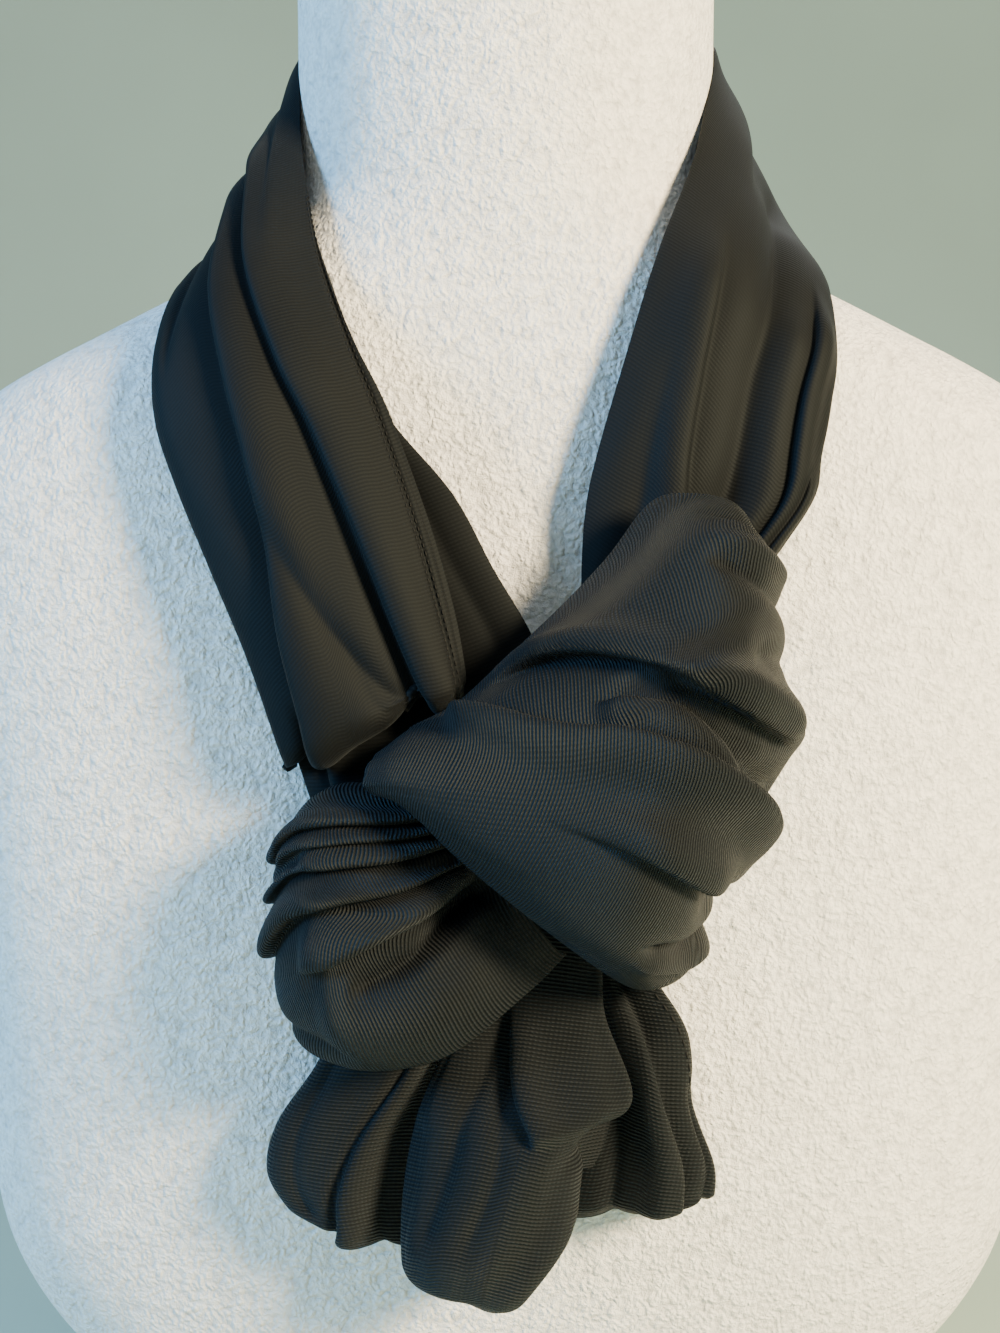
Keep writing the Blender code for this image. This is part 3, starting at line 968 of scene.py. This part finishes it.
BAND_LEFT = ClothStretch(
    node="band_left",
    sections=(
        section((-54.6, 14.8, 363.0), (-64.0, 14.8, 334.0), (-79.0, 14.8, 308.0)),
        section((-55.2, -1.0, 360.5), (-62.5, -4.0, 333.0), (-77.5, -8.0, 306.5)),
        section((-52.5, -22.0, 337.0), (-65.5, -29.0, 322.0), (-82.5, -37.0, 298.5)),
        section((-45.0, -44.0, 311.0), (-67.5, -55.5, 300.0), (-84.0, -52.0, 282.5)),
        section((-35.0, -61.5, 286.0), (-61.5, -71.0, 279.0), (-82.5, -61.0, 267.0)),
        section((-26.7, -68.0, 269.0), (-53.5, -78.0, 262.0), (-77.5, -66.0, 252.0)),
        section((-17.5, -76.0, 244.5), (-43.5, -85.5, 238.5), (-69.5, -71.5, 233.5)),
        section((-12.0, -80.0, 225.0), (-36.5, -90.0, 219.5), (-61.5, -75.5, 214.5)),
        section((-9.5, -83.0, 210.0), (-31.5, -92.0, 204.0), (-55.5, -79.0, 198.0)),
        section((-9.5, -83.5, 206.0), (-31.0, -91.0, 198.0), (-52.0, -80.0, 188.5)),
        section((-10.0, -80.0, 203.5), (-31.0, -86.0, 194.0), (-50.5, -77.5, 186.0)),
        section((-10.5, -75.5, 206.0), (-31.0, -79.5, 197.5), (-49.0, -73.5, 189.5)),
    ),
    folds=(
        Fold("inner_lap", L, -0.1, 1.1,
             (0.50, 0.45, 0.40, 0.37, 0.355, 0.325, 0.25, 0.18, 0.14), 3.4, 4.4, 2.8, 4.0, hang=0.42),
        Fold("dark_hollow", V, 0.46, 1.1, (0.40, 0.35, 0.30, 0.25, 0.22), 1.2, 3.4, 5.0, 5.0,
             fade=0.16),
        Fold("outer_lap", L, -0.1, 1.1,
             (0.72, 0.63, 0.56, 0.56, 0.63, 0.75, 0.79, 0.80, 0.80), 3.0, 4.0, 2.8, 3.4, hang=0.42),
        Fold("top_lap", L, -0.1, 0.30, (0.20, 0.22, 0.26, 0.30), 2.0, 3.2, 0.8, 5.0, hang=0.34),
        Fold("side_valley", V, -0.1, 0.34, (0.84, 0.83, 0.80, 0.86), 1.4, 2.6),
        Fold("soft_wrinkle", V, 0.48, 0.80, (0.62, 0.60, 0.54, 0.43, 0.32), 1.8, 2.8),
        Fold("tube_swell", R, 0.10, 0.92, (0.48, 0.46, 0.50, 0.56, 0.55, 0.50), 1.6, 9.0),
        Fold("seam_groove", V, 0.24, 0.96, (0.0, 0.03, 0.075, 0.105, 0.10, 0.08, 0.05), 1.1, 0.8),
        Fold("strip_edge", V, 0.40, 0.93, (0.02, 0.035, 0.03, 0.0), 0.5, 1.6),
        Fold("low_wrinkle", V, 0.62, 0.86, (0.52, 0.50, 0.44, 0.38), 0.8, 2.6),
        Fold("hook_slit", V, 0.70, 0.96, (0.84, 0.82, 0.79), 2.2, 1.6, 3.0, 1.6),
    ),
    along=190, across=170,
    first_edge=Edge(24.0, 0.0, 0.0), last_edge=Edge(20.0, 3.4, 110.0),
    flat=(0.066, 0.200), held="draped", rests_on=("display_bust_plush",), seed=11,
)

BAND_LEFT_INNER = ClothStretch(
    node="band_left_inner",
    sections=(
        section((-33.6, -60.0, 278.5), (-38.0, -61.6, 277.5), (-46.0, -58.5, 275.0)),
        section((-28.0, -63.0, 267.0), (-34.0, -64.4, 265.0), (-42.0, -61.5, 262.0)),
        section((-13.4, -68.0, 249.6), (-21.0, -70.0, 246.0), (-32.0, -66.0, 242.0)),
        section((-3.9, -71.0, 232.0), (-12.0, -73.5, 229.0), (-24.0, -69.5, 225.0)),
        section((4.2, -73.5, 218.0), (-4.0, -76.5, 214.0), (-17.0, -71.5, 209.0)),
        section((8.0, -75.0, 209.0), (0.0, -77.5, 205.0), (-12.0, -73.0, 200.0)),
    ),
    folds=(
        Fold("lay_wrinkle", V, 0.15, 1.1, (0.40, 0.46, 0.44, 0.50), 0.9, 2.4),
    ),
    along=90, across=36,
    first_edge=Edge(28.0, 0.0, 0.0), last_edge=Edge(28.0, 0.0, 0.0),
    flat=(0.020, 0.085), held="draped", rests_on=("display_bust_plush",), seed=12, ripple=0.10,
)

BAND_LEFT_TUCK = ClothStretch(
    node="band_left_tuck",
    sections=(
        section((-48.0, -71.0, 203.0), (-30.0, -75.5, 205.0), (-9.0, -72.0, 209.0)),
        section((-49.5, -72.5, 193.0), (-32.0, -78.5, 194.0), (-9.0, -75.5, 198.0)),
        section((-46.5, -75.0, 182.0), (-33.0, -81.5, 182.0), (-14.0, -79.0, 186.0)),
        section((-43.0, -75.0, 171.0), (-33.0, -81.0, 170.0), (-18.0, -79.0, 173.0)),
    ),
    folds=(
        Fold("slit", U, -0.1, 1.1, (0.26, 0.28, 0.32, 0.40), 1.8, 1.8, hang=0.34),
        Fold("tuck_crease", V, 0.1, 1.1, (0.66, 0.64, 0.60), 1.2, 2.4),
    ),
    along=60, across=60,
    first_edge=Edge(20.0, 0.0, 0.0), last_edge=Edge(28.0, 0.0, 0.0),
    flat=(0.038, 0.034), held="gathered", rests_on=("display_bust_plush",), seed=13,
)

BAND_RIGHT = ClothStretch(
    node="band_right",
    sections=(
        section((54.6, 14.8, 364.5), (64.5, 14.8, 334.0), (79.5, 14.8, 307.0)),
        section((55.2, -1.0, 362.5), (66.0, -4.0, 333.0), (80.0, -8.0, 306.5)),
        section((46.0, -32.5, 332.5), (65.5, -35.0, 320.0), (79.0, -36.0, 299.5)),
        section((35.0, -51.5, 308.0), (61.0, -61.0, 298.0), (78.5, -51.5, 282.5)),
        section((27.5, -61.0, 284.0), (54.0, -70.5, 277.0), (76.5, -59.0, 272.0)),
        section((20.5, -66.0, 260.5), (49.0, -75.0, 260.0), (74.0, -63.5, 261.5)),
        section((18.0, -68.5, 248.0), (46.0, -76.5, 248.0), (71.5, -67.0, 249.5)),
        section((17.5, -70.0, 236.0), (41.0, -77.0, 236.0), (64.5, -70.0, 238.5)),
        section((17.0, -71.0, 224.0), (37.0, -77.0, 224.0), (55.0, -71.5, 226.0)),
    ),
    folds=(
        Fold("inner_valley", V, 0.44, 1.1, (0.23, 0.26, 0.27, 0.30), 0.5, 3.6, 1.6, 3.0),
        Fold("ridge_lap", L, 0.32, 1.1, (0.30, 0.37, 0.42, 0.46, 0.46),
             1.8, 3.2, 2.2, 2.2, hang=0.40),
        Fold("squeezed_ridge", R, 0.50, 1.1, (0.28, 0.34, 0.38, 0.38), 0.3, 3.4, 0.9, 2.8),
        Fold("deep_valley", V, 0.14, 1.1, (0.60, 0.57, 0.56, 0.58, 0.57, 0.53, 0.51),
             4.0, 5.5, 7.0, 5.5),
        Fold("top_lap", L, -0.1, 0.26, (0.36, 0.38, 0.42), 2.6, 3.2, 0.8, 5.0, hang=0.36),
        Fold("outer_lap", U, 0.30, 1.1, (0.77, 0.78, 0.81, 0.79, 0.76),
             2.2, 2.6, 2.0, 2.4, hang=0.40),
        Fold("outer_swell", R, 0.34, 1.1, (0.68, 0.69, 0.71, 0.70, 0.68), 1.0, 4.5, 1.0, 3.8),
        Fold("pocket_lap", U, 0.66, 1.1, (0.92, 0.88, 0.84), 1.0, 2.4, 2.8, 2.2, hang=0.3),
    ),
    along=150, across=150,
    first_edge=Edge(24.0, 0.0, 0.0), last_edge=Edge(20.0, 3.4, 100.0),
    flat=(0.064, 0.165), held="draped", rests_on=("display_bust_plush",), seed=14,
)

BAND_BACK = ClothStretch(
    node="band_back",
    sections=(
        section((-54.6, 15.6, 363.0), (-64.0, 15.6, 334.0), (-79.0, 15.6, 308.0)),
        section((-48.0, 35.5, 366.0), (-61.5, 43.0, 334.5), (-69.5, 47.5, 305.0)),
        section((-26.5, 52.0, 368.0), (-34.0, 65.5, 335.5), (-39.0, 68.0, 300.0)),
        section((0.0, 58.0, 368.5), (0.0, 72.5, 336.0), (0.0, 73.0, 299.5)),
        section((26.5, 52.0, 368.0), (33.5, 65.5, 335.5), (38.5, 68.0, 300.0)),
        section((48.0, 35.5, 366.5), (60.0, 43.0, 334.0), (69.0, 47.5, 305.0)),
        section((54.6, 15.6, 364.5), (64.5, 15.6, 334.0), (79.5, 15.6, 307.0)),
    ),
    folds=(
        Fold("upper_lap", L, -0.1, 1.1, (0.19, 0.23, 0.30, 0.34, 0.36, 0.37),
             2.0, 3.2, 2.4, hang=0.36),
        Fold("middle_lap", L, -0.1, 1.1, (0.46, 0.48, 0.50, 0.55, 0.60, 0.61),
             3.4, 4.2, 2.6, hang=0.42),
        Fold("lower_lap", L, -0.1, 0.94, (0.64, 0.68, 0.74, 0.78, 0.78, 0.78),
             3.0, 4.0, 2.2, hang=0.38),
        Fold("nape_crease", V, 0.25, 0.80, (0.42, 0.43, 0.40, 0.44), 1.2, 2.4),
        Fold("hem_crease", V, 0.10, 0.62, (0.88, 0.86, 0.90), 1.2, 2.4),
    ),
    along=120, across=120,
    first_edge=Edge(24.0, 0.0, 0.0), last_edge=Edge(20.0, 2.4, 60.0),
    flat=(0.080, 0.200), held="draped", rests_on=("display_bust_plush",), seed=15,
)

KNOT_OVER = ClothStretch(
    node="knot_over",
    sections=(
        section((-28.0, -93.0, 192.5), (-32.5, -101.5, 187.2), (-29.5, -97.0, 183.0)),
        section((-22.5, -94.0, 197.0), (-24.0, -110.5, 189.0), (-23.5, -103.0, 181.0)),
        section((-10.0, -93.0, 204.0), (-8.0, -121.0, 189.0), (-13.0, -110.0, 172.0)),
        section((8.5, -90.0, 220.5), (13.0, -128.0, 189.5), (3.0, -112.0, 158.5)),
        section((23.0, -87.5, 235.0), (32.0, -128.5, 194.0), (15.5, -110.0, 148.5)),
        section((34.5, -87.0, 249.0), (47.5, -121.0, 198.0), (25.0, -105.0, 141.0)),
        section((45.5, -87.0, 250.0), (58.0, -108.0, 200.0), (32.0, -99.0, 137.0)),
        section((50.0, -84.5, 243.0), (64.0, -92.0, 200.0), (38.5, -93.0, 137.0)),
        section((49.5, -79.0, 239.0), (62.5, -80.0, 200.0), (39.0, -85.0, 139.5)),
    ),
    folds=(
        Fold("upper_lap", L, 0.27, 0.88,
             (0.04, 0.18, 0.31, 0.415, 0.475, 0.515, 0.545), 4.6, 2.8, 3.0, 4.0, 0.10, 0.55),
        Fold("middle_lap", U, 0.20, 1.1,
             (0.05, 0.33, 0.43, 0.51, 0.585, 0.65, 0.69, 0.71), 4.2, 2.8, 3.4, 3.4, 0.04, 0.55),
        Fold("tongue_lap", U, 0.40, 0.84, (0.33, 0.40, 0.49, 0.58, 0.63), 4.2, 2.4, 4.0, 3.0,
             0.06, 0.36),
        Fold("middle_ridge", R, 0.40, 1.1, (0.29, 0.39, 0.465, 0.53, 0.545), 2.6, 2.2, 3.4, 3.0),
        Fold("middle_furrow", V, 0.42, 0.95, (0.34, 0.44, 0.52, 0.585, 0.60), 3.4, 1.8, 3.6, 2.2),
        Fold("low_lap", L, 0.32, 1.1, (0.56, 0.635, 0.70, 0.73, 0.76, 0.78), 2.4, 2.8, 4.2, 3.0,
             fade=0.24, hang=0.36),
        Fold("low_bulge", R, 0.42, 0.95, (0.58, 0.64, 0.68, 0.70), 1.4, 4.0, 1.4, 4.0),
        Fold("waist", R, 0.64, 1.1, (0.71, 0.72, 0.725), -4.0, 8.0, -11.0, 8.0, fade=0.14),
        Fold("tongue_end", R, 0.66, 1.1, (0.54, 0.56, 0.58), 1.5, 7.0, 4.5, 9.0, fade=0.16),
        Fold("rim_hollow", V, 0.56, 1.1, (0.84, 0.83, 0.83, 0.83), 5.0, 1.8, 6.0, 2.4),
        Fold("rim_ridge", R, 0.56, 1.1, (0.885, 0.88, 0.88, 0.88), 1.4, 2.6, 2.2, 2.8),
        Fold("hem_line", V, 0.06, 0.62, (0.93, 0.955, 0.965, 0.965, 0.96), 0.7, 0.9),
        Fold("lower_notch", V, 0.62, 1.1, (0.90, 0.90, 0.90), 1.4, 1.6, 1.6, 2.0),
        Fold("pocket", V, 0.60, 1.1, (0.22, 0.31, 0.345, 0.36), 3.4, 2.0, 2.0, 2.6),
        Fold("pocket_lip", R, 0.60, 1.1, (0.18, 0.25, 0.28, 0.29), 1.8, 2.6),
        Fold("second_pocket", V, 0.66, 1.1, (0.40, 0.425, 0.45), 2.4, 2.0, 1.4, 2.6),
        Fold("shoulder_crease", V, 0.62, 1.0, (0.12, 0.16, 0.20, 0.24), 1.4, 2.0),
        Fold("top_softness", V, 0.40, 0.95, (0.10, 0.14, 0.15, 0.14), 0.6, 4.0),
    ),
    along=150, across=290,
    first_edge=Edge(0.0, 4.0, 20.0), last_edge=Edge(0.0, 4.0, 40.0),
    flat=(0.110, 0.136), held="gathered", rests_on=("knot_under_cloth",), seed=16,
    ripple=0.14, lean=(-6.0, 0.0, 12.0, 22.0, 24.0),
)

KNOT_UNDER = ClothStretch(
    node="knot_under",
    sections=(
        section((-1.0, -90.0, 170.0), (4.0, -97.0, 157.0), (14.0, -93.0, 144.0)),
        section((-12.0, -92.0, 176.0), (-6.0, -103.0, 154.0), (5.5, -99.0, 137.0)),
        section((-24.0, -91.0, 182.0), (-20.0, -112.5, 148.0), (-12.0, -101.0, 124.0)),
        section((-36.0, -90.0, 184.0), (-38.0, -113.0, 148.0), (-28.0, -99.0, 119.0)),
        section((-44.0, -87.5, 181.0), (-49.0, -102.5, 149.0), (-41.0, -95.0, 119.5)),
        section((-48.5, -84.0, 175.5), (-55.5, -91.0, 144.0), (-45.5, -90.5, 123.0)),
        section((-47.0, -79.0, 173.0), (-53.0, -80.5, 145.0), (-46.0, -83.5, 127.5)),
    ),
    folds=(
        Fold("first_pleat", L, 0.16, 1.1, (0.10, 0.175, 0.21, 0.235, 0.25, 0.25),
             2.8, 1.5, 2.0, 2.4,
             hang=0.40),
        Fold("second_pleat", L, 0.14, 0.80, (0.15, 0.21, 0.25, 0.28, 0.29), 2.6, 1.3, 1.8, 2.0,
             hang=0.40),
        Fold("third_pleat", L, 0.10, 1.1, (0.19, 0.26, 0.31, 0.34, 0.37, 0.38), 3.2, 1.5, 2.4, 2.6,
             hang=0.42),
        Fold("lens_pleat", V, 0.14, 0.46, (0.26, 0.30, 0.335), 2.0, 1.1),
        Fold("fourth_pleat", L, 0.10, 1.1, (0.27, 0.33, 0.39, 0.46, 0.53, 0.57), 3.4, 1.6, 2.6, 2.8,
             hang=0.42),
        Fold("fifth_pleat", L, 0.08, 0.66, (0.33, 0.39, 0.44, 0.52, 0.58), 3.6, 1.6, 2.8, 2.8,
             hang=0.40),
        Fold("deep_pleat", V, 0.05, 0.50, (0.37, 0.44, 0.51, 0.59), 8.0, 2.2, 4.0, 3.2, 0.06),
        Fold("deep_lip", R, 0.05, 0.40, (0.43, 0.49, 0.56), 1.4, 2.2),
        Fold("side_lobe", V, 0.50, 1.1, (0.80, 0.76, 0.74), 1.4, 2.8, 2.4, 2.8),
        Fold("pucker", V, 0.58, 1.1, (0.30, 0.31, 0.31), 2.4, 1.3, 2.8, 1.6),
        Fold("low_swell", R, 0.16, 0.62, (0.62, 0.66, 0.72), 1.4, 8.0),
    ),
    along=140, across=210,
    first_edge=Edge(0.0, 0.0, 0.0), last_edge=Edge(0.0, 0.0, 0.0),
    flat=(0.070, 0.086), held="gathered", rests_on=("band_left_tuck_cloth",), seed=17,
    ripple=0.12,
)

TAIL_LEFT = ClothStretch(
    node="tail_left",
    sections=(
        section((-38.0, -80.0, 126.0), (-28.0, -87.0, 127.0), (-7.5, -81.0, 127.0)),
        section((-45.0, -79.0, 113.0), (-34.0, -88.0, 112.0), (-12.5, -80.5, 112.0)),
        section((-54.5, -78.0, 99.0), (-40.0, -89.0, 98.0), (-17.5, -79.5, 98.0)),
        section((-57.0, -78.0, 88.0), (-42.0, -88.5, 85.0), (-19.0, -79.0, 84.0)),
        section((-52.5, -78.5, 79.0), (-40.0, -87.0, 74.5), (-20.5, -79.0, 70.0)),
        section((-49.5, -77.5, 77.0), (-39.0, -81.5, 71.5), (-20.5, -77.5, 68.5)),
    ),
    folds=(
        Fold("long_lap", U, 0.0, 1.1, (0.80, 0.72, 0.64, 0.58, 0.54, 0.50, 0.50),
             2.4, 2.4, 2.8, 3.0,
             hang=0.34),
        Fold("side_valley", V, 0.05, 0.80, (0.30, 0.29, 0.34, 0.38), 1.4, 3.0),
        Fold("inner_valley", V, 0.05, 1.1, (0.90, 0.80, 0.76, 0.76), 1.6, 2.6),
        Fold("front_ridge", R, 0.1, 0.9, (0.68, 0.60, 0.50, 0.44), 1.2, 2.6),
    ),
    along=100, across=100,
    first_edge=Edge(6.0, 3.0, 60.0), last_edge=Edge(16.0, 0.0, 0.0),
    flat=(0.038, 0.060), held="hung", rests_on=("display_bust_plush",), seed=18,
)

TAIL_CENTRE = ClothStretch(
    node="tail_centre",
    sections=(
        section((-1.0, -82.0, 154.0), (11.0, -86.0, 155.0), (22.0, -83.0, 152.0)),
        section((-6.0, -84.0, 142.0), (8.0, -89.0, 143.0), (22.0, -86.0, 141.0)),
        section((-13.0, -87.0, 124.0), (6.0, -95.5, 127.0), (22.0, -91.0, 129.0)),
        section((-20.0, -90.0, 108.0), (3.0, -105.0, 109.0), (29.0, -94.0, 111.0)),
        section((-22.0, -90.5, 101.0), (1.0, -107.5, 101.0), (20.0, -95.0, 105.5)),
        section((-23.5, -91.0, 93.0), (-1.0, -108.5, 92.5), (15.5, -93.5, 98.0)),
        section((-25.0, -91.0, 80.0), (-5.0, -107.5, 77.0), (17.0, -89.0, 80.0)),
        section((-25.0, -90.5, 69.5), (-7.5, -103.0, 64.5), (11.0, -89.0, 70.0)),
        section((-22.5, -87.0, 67.5), (-7.5, -96.0, 61.0), (9.0, -86.5, 68.5)),
    ),
    folds=(
        Fold("left_valley", V, 0.16, 0.80, (0.34, 0.32, 0.28, 0.25, 0.23), 3.4, 2.6, 2.4, 4.5),
        Fold("centre_crease", U, 0.20, 0.52, (0.36, 0.44, 0.53, 0.58),
             2.6, 1.8, 2.2, 2.6, hang=0.4),
        Fold("middle_valley", V, 0.20, 0.80, (0.42, 0.44, 0.46, 0.42), 2.4, 2.4, 2.0, 4.0),
        Fold("lip_lap", L, 0.56, 1.1, (0.92, 0.84, 0.74, 0.67, 0.66),
             3.0, 2.4, 3.4, 3.0, hang=0.42),
        Fold("edge_ridge", R, 0.10, 0.56, (0.93, 0.92, 0.94), 1.4, 3.0),
        Fold("left_edge_fold", V, 0.1, 0.9, (0.10, 0.09, 0.10), 0.8, 2.2),
    ),
    along=130, across=140,
    first_edge=Edge(0.0, 3.5, 40.0), last_edge=Edge(0.0, 3.5, 60.0),
    flat=(0.060, 0.100), held="hung", rests_on=("display_bust_plush",), seed=19,
)

TAIL_HOLLOW = ClothStretch(
    node="tail_centre", part="tail_hollow",
    sections=(
        section((16.0, -95.0, 109.5), (24.5, -86.0, 110.0), (31.5, -85.5, 109.0)),
        section((14.5, -94.5, 101.0), (23.5, -85.0, 100.5), (31.5, -85.5, 99.5)),
        section((12.5, -92.0, 94.0), (22.0, -84.2, 93.0), (30.0, -85.0, 92.0)),
        section((11.5, -89.0, 90.0), (20.0, -84.0, 89.0), (28.0, -84.5, 89.0)),
    ),
    folds=(Fold("inner_fold", V, -0.1, 1.1, (0.62, 0.60, 0.56), 1.0, 1.8),),
    along=50, across=60,
    first_edge=Edge(10.0, 0.0, 0.0), last_edge=Edge(10.0, 0.0, 0.0),
    flat=(0.024, 0.024), held="gathered", rests_on=("tail_right_cloth",), seed=21, ripple=0.08,
)

TAIL_RIGHT = ClothStretch(
    node="tail_right",
    sections=(
        section((19.0, -76.0, 144.0), (29.5, -83.0, 142.0), (31.0, -79.0, 138.0)),
        section((18.0, -77.0, 124.0), (35.5, -86.5, 125.0), (41.5, -78.5, 122.0)),
        section((16.5, -77.5, 106.0), (36.5, -88.0, 106.0), (43.5, -78.0, 104.0)),
        section((14.5, -77.5, 92.0), (37.0, -87.5, 92.0), (49.0, -79.0, 90.0)),
        section((13.5, -77.5, 80.0), (35.0, -86.5, 80.0), (50.0, -79.0, 82.5)),
        section((13.5, -76.0, 75.0), (34.5, -81.5, 76.5), (49.0, -77.5, 80.0)),
    ),
    folds=(
        Fold("deep_lap", L, 0.0, 0.86, (0.14, 0.36, 0.50, 0.58, 0.62),
             2.8, 2.4, 3.0, 3.2, hang=0.38),
        Fold("left_valley", V, 0.30, 1.1, (0.20, 0.26, 0.32), 2.4, 2.6),
        Fold("right_valley", V, 0.30, 1.1, (0.82, 0.80, 0.78), 1.8, 2.4),
        Fold("front_ridge", R, 0.20, 0.90, (0.40, 0.46, 0.48), 1.6, 2.8),
    ),
    along=100, across=100,
    first_edge=Edge(16.0, 0.0, 0.0), last_edge=Edge(6.0, 3.0, 60.0),
    flat=(0.040, 0.068), held="hung", rests_on=("display_bust_plush",), seed=20,
)


# ------------------------------------------------------------------------ camera and light


@dataclass(frozen=True)
class SoftLamp:
    """One soft studio panel."""

    name: str
    place: Place
    side: float
    power: float
    colour: Colour
    aim: Place = (0.0, 0.0, 0.2)

    def build(self) -> None:
        """Hang the panel and turn it to its aim."""
        lamp = bpy.data.lights.new(self.name, "AREA")
        lamp.shape = "SQUARE"
        lamp.size = self.side
        lamp.energy = self.power
        lamp.color = self.colour
        item = bpy.data.objects.new(self.name, lamp)
        item.location = self.place
        item.rotation_euler = look_rotation(self.place, self.aim)
        bpy.context.scene.collection.objects.link(item)


def look_rotation(place: Place, aim: Place) -> Place:
    """Euler turn that points -Z from a place to an aim, with Y upwards.

    Args:
        place: Where the item is, in metres.
        aim: Where it points.

    Returns:
        The turn about each axis, in radians.
    """
    across, ahead, down = (aim[index] - place[index] for index in range(3))
    level = math.hypot(across, ahead)
    return (math.atan2(level, -down), 0.0, math.atan2(-across, ahead))


LAMPS = (
    SoftLamp("cool_left", (-1.15, -0.45, 0.62), side=0.5, power=28.0, colour=(0.20, 0.56, 1.0)),
    SoftLamp("warm_right", (0.84, -0.88, 0.66), side=0.3, power=70.0, colour=(1.0, 0.78, 0.47)),
    SoftLamp("high_fill", (-0.3, -0.9, 1.2), side=0.7, power=3.0, colour=(0.92, 0.97, 1.0)),
    SoftLamp("back_fill", (0.3, 1.0, 1.1), side=0.8, power=12.0, colour=(0.95, 0.98, 1.0)),
)


@dataclass(frozen=True)
class Studio:
    """Pale floor with a swept-up back, soft lamps and the camera, in metres and degrees."""

    sweep_width: float = 6.0
    sweep_back: float = 1.1
    sweep_radius: float = 0.5
    sweep_height: float = 3.0
    sweep_steps: int = 24
    front: float = -3.0
    floor_colour: Colour = (0.355, 0.465, 0.395)
    air_colour: Colour = (0.68, 0.88, 1.0)
    air_strength: float = 0.17
    camera_place: Place = (-0.0015, -0.6154, 0.2756)
    camera_pitch: float = 83.0
    lens_length: float = 62.0
    frame_height: float = 36.0
    nearest: float = 0.05

    def build_floor(self) -> None:
        """Make the floor: a flat sheet, a quarter circle and an upright wall in one sheet."""
        turn = np.linspace(0.0, 0.5 * math.pi, self.sweep_steps)
        depth = np.concatenate(([self.front], self.sweep_back + self.sweep_radius * np.sin(turn),
                                [self.sweep_back + self.sweep_radius]))
        height = np.concatenate(([0.0], self.sweep_radius * (1.0 - np.cos(turn)),
                                 [self.sweep_height]))
        half = 0.5 * self.sweep_width
        points = np.stack([
            np.stack((np.full_like(depth, side), depth, height), axis=-1) for side in (-half, half)
        ], axis=1) / MM
        faces = grid_faces(len(depth), 2)[:, ::-1]
        item = make_object("studio_floor", points, faces.tolist())
        item.data.materials.append(PlainFinish("pale_sage_floor", self.floor_colour).material())
        item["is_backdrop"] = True

    def build_air(self) -> None:
        """Fill the studio with faint blue light from all round."""
        world = bpy.data.worlds.new("studio_air")
        world.use_nodes = True
        sky = world.node_tree.nodes["Background"]
        sky.inputs["Color"].default_value = (*self.air_colour, 1.0)
        sky.inputs["Strength"].default_value = self.air_strength
        bpy.context.scene.world = world

    def build_camera(self) -> None:
        """Set the camera: a short telephoto just above the shoulders, looking slightly down."""
        lens = bpy.data.cameras.new("camera")
        lens.sensor_fit = "VERTICAL"
        lens.sensor_height = self.frame_height
        lens.lens = self.lens_length
        lens.clip_start = self.nearest
        item = bpy.data.objects.new("camera", lens)
        item.location = self.camera_place
        item.rotation_euler = (math.radians(self.camera_pitch), 0.0, 0.0)
        bpy.context.scene.collection.objects.link(item)
        bpy.context.scene.camera = item

    def build(self) -> None:
        """Make the whole studio."""
        self.build_floor()
        for lamp in LAMPS:
            lamp.build()
        self.build_air()
        self.build_camera()


# one jersey in two states: pulled smooth in the bands, its ribs standing up in knot and tail
STRETCHED_JERSEY = JerseyFinish(
    "black_jersey_flat", rib_depth=0.05, painted_shade_contrast=0.30, rib=(0.0125, 0.0136, 0.0150),
    roughness=0.74, gloss=0.19,
)
GATHERED_JERSEY = JerseyFinish("black_jersey_ribbed")
BLACK_THREAD = PlainFinish("black_thread", (0.008, 0.009, 0.010), roughness=0.8, mottle=900.0)


@dataclass
class InfinityScarf:
    """The whole scarf, made stretch by stretch from the nape to the tail."""

    smooth: tuple[ClothStretch, ...]
    ribbed: tuple[ClothStretch, ...]
    stitches: tuple[StitchRow, ...]

    def build(self) -> None:
        """Make every stretch in jersey and sew the rows that show."""
        flat_knit = STRETCHED_JERSEY.material()
        rib_knit = GATHERED_JERSEY.material()
        thread = BLACK_THREAD.material()
        for finish, stretches in ((flat_knit, self.smooth), (rib_knit, self.ribbed)):
            for stretch in stretches:
                item = stretch.build(finish)
        for row in self.stitches:
            row.build(thread)


SEAM_LINE = (0.0, 0.03, 0.075, 0.105, 0.10, 0.08, 0.05)
STITCHES = (
    StitchRow("seam_left_row", BAND_LEFT, 0.24, 0.90, SEAM_LINE, 1.1, 70, 1.25, 0.22),
    StitchRow("seam_right_row", BAND_LEFT, 0.24, 0.90, SEAM_LINE, -1.1, 70, 1.25, 0.22),
    StitchRow("tail_topstitch", TAIL_RIGHT, 0.08, 0.34, (0.52, 0.62, 0.70, 0.78), 0.0, 9, 2.0, 0.30),
)


def plain(value: object) -> object:
    """A box as plain lists of numbers.

    Args:
        value: A number, or anything that holds numbers.

    Returns:
        The same, as floats and lists.
    """
    if hasattr(value, "__len__"):
        return [plain(part) for part in value]
    return float(value)


def main() -> None:
    """Build the bust, the scarf and the studio, then work out the CAD and visual boxes."""
    logging.basicConfig(level=logging.INFO, format="%(name)s: %(message)s")
    Studio().build()
    DisplayBust(BUST_ROWS).build(PlushFinish().material())
    InfinityScarf(
        smooth=(BAND_BACK, BAND_LEFT, BAND_LEFT_INNER, BAND_LEFT_TUCK, BAND_RIGHT),
        ribbed=(KNOT_UNDER, KNOT_OVER, TAIL_LEFT, TAIL_RIGHT, TAIL_CENTRE, TAIL_HOLLOW),
        stitches=STITCHES,
    ).build()
    {"cad": plain(CAD_BOX), "visual": plain(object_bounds())}


if __name__ == "__main__":
    main()
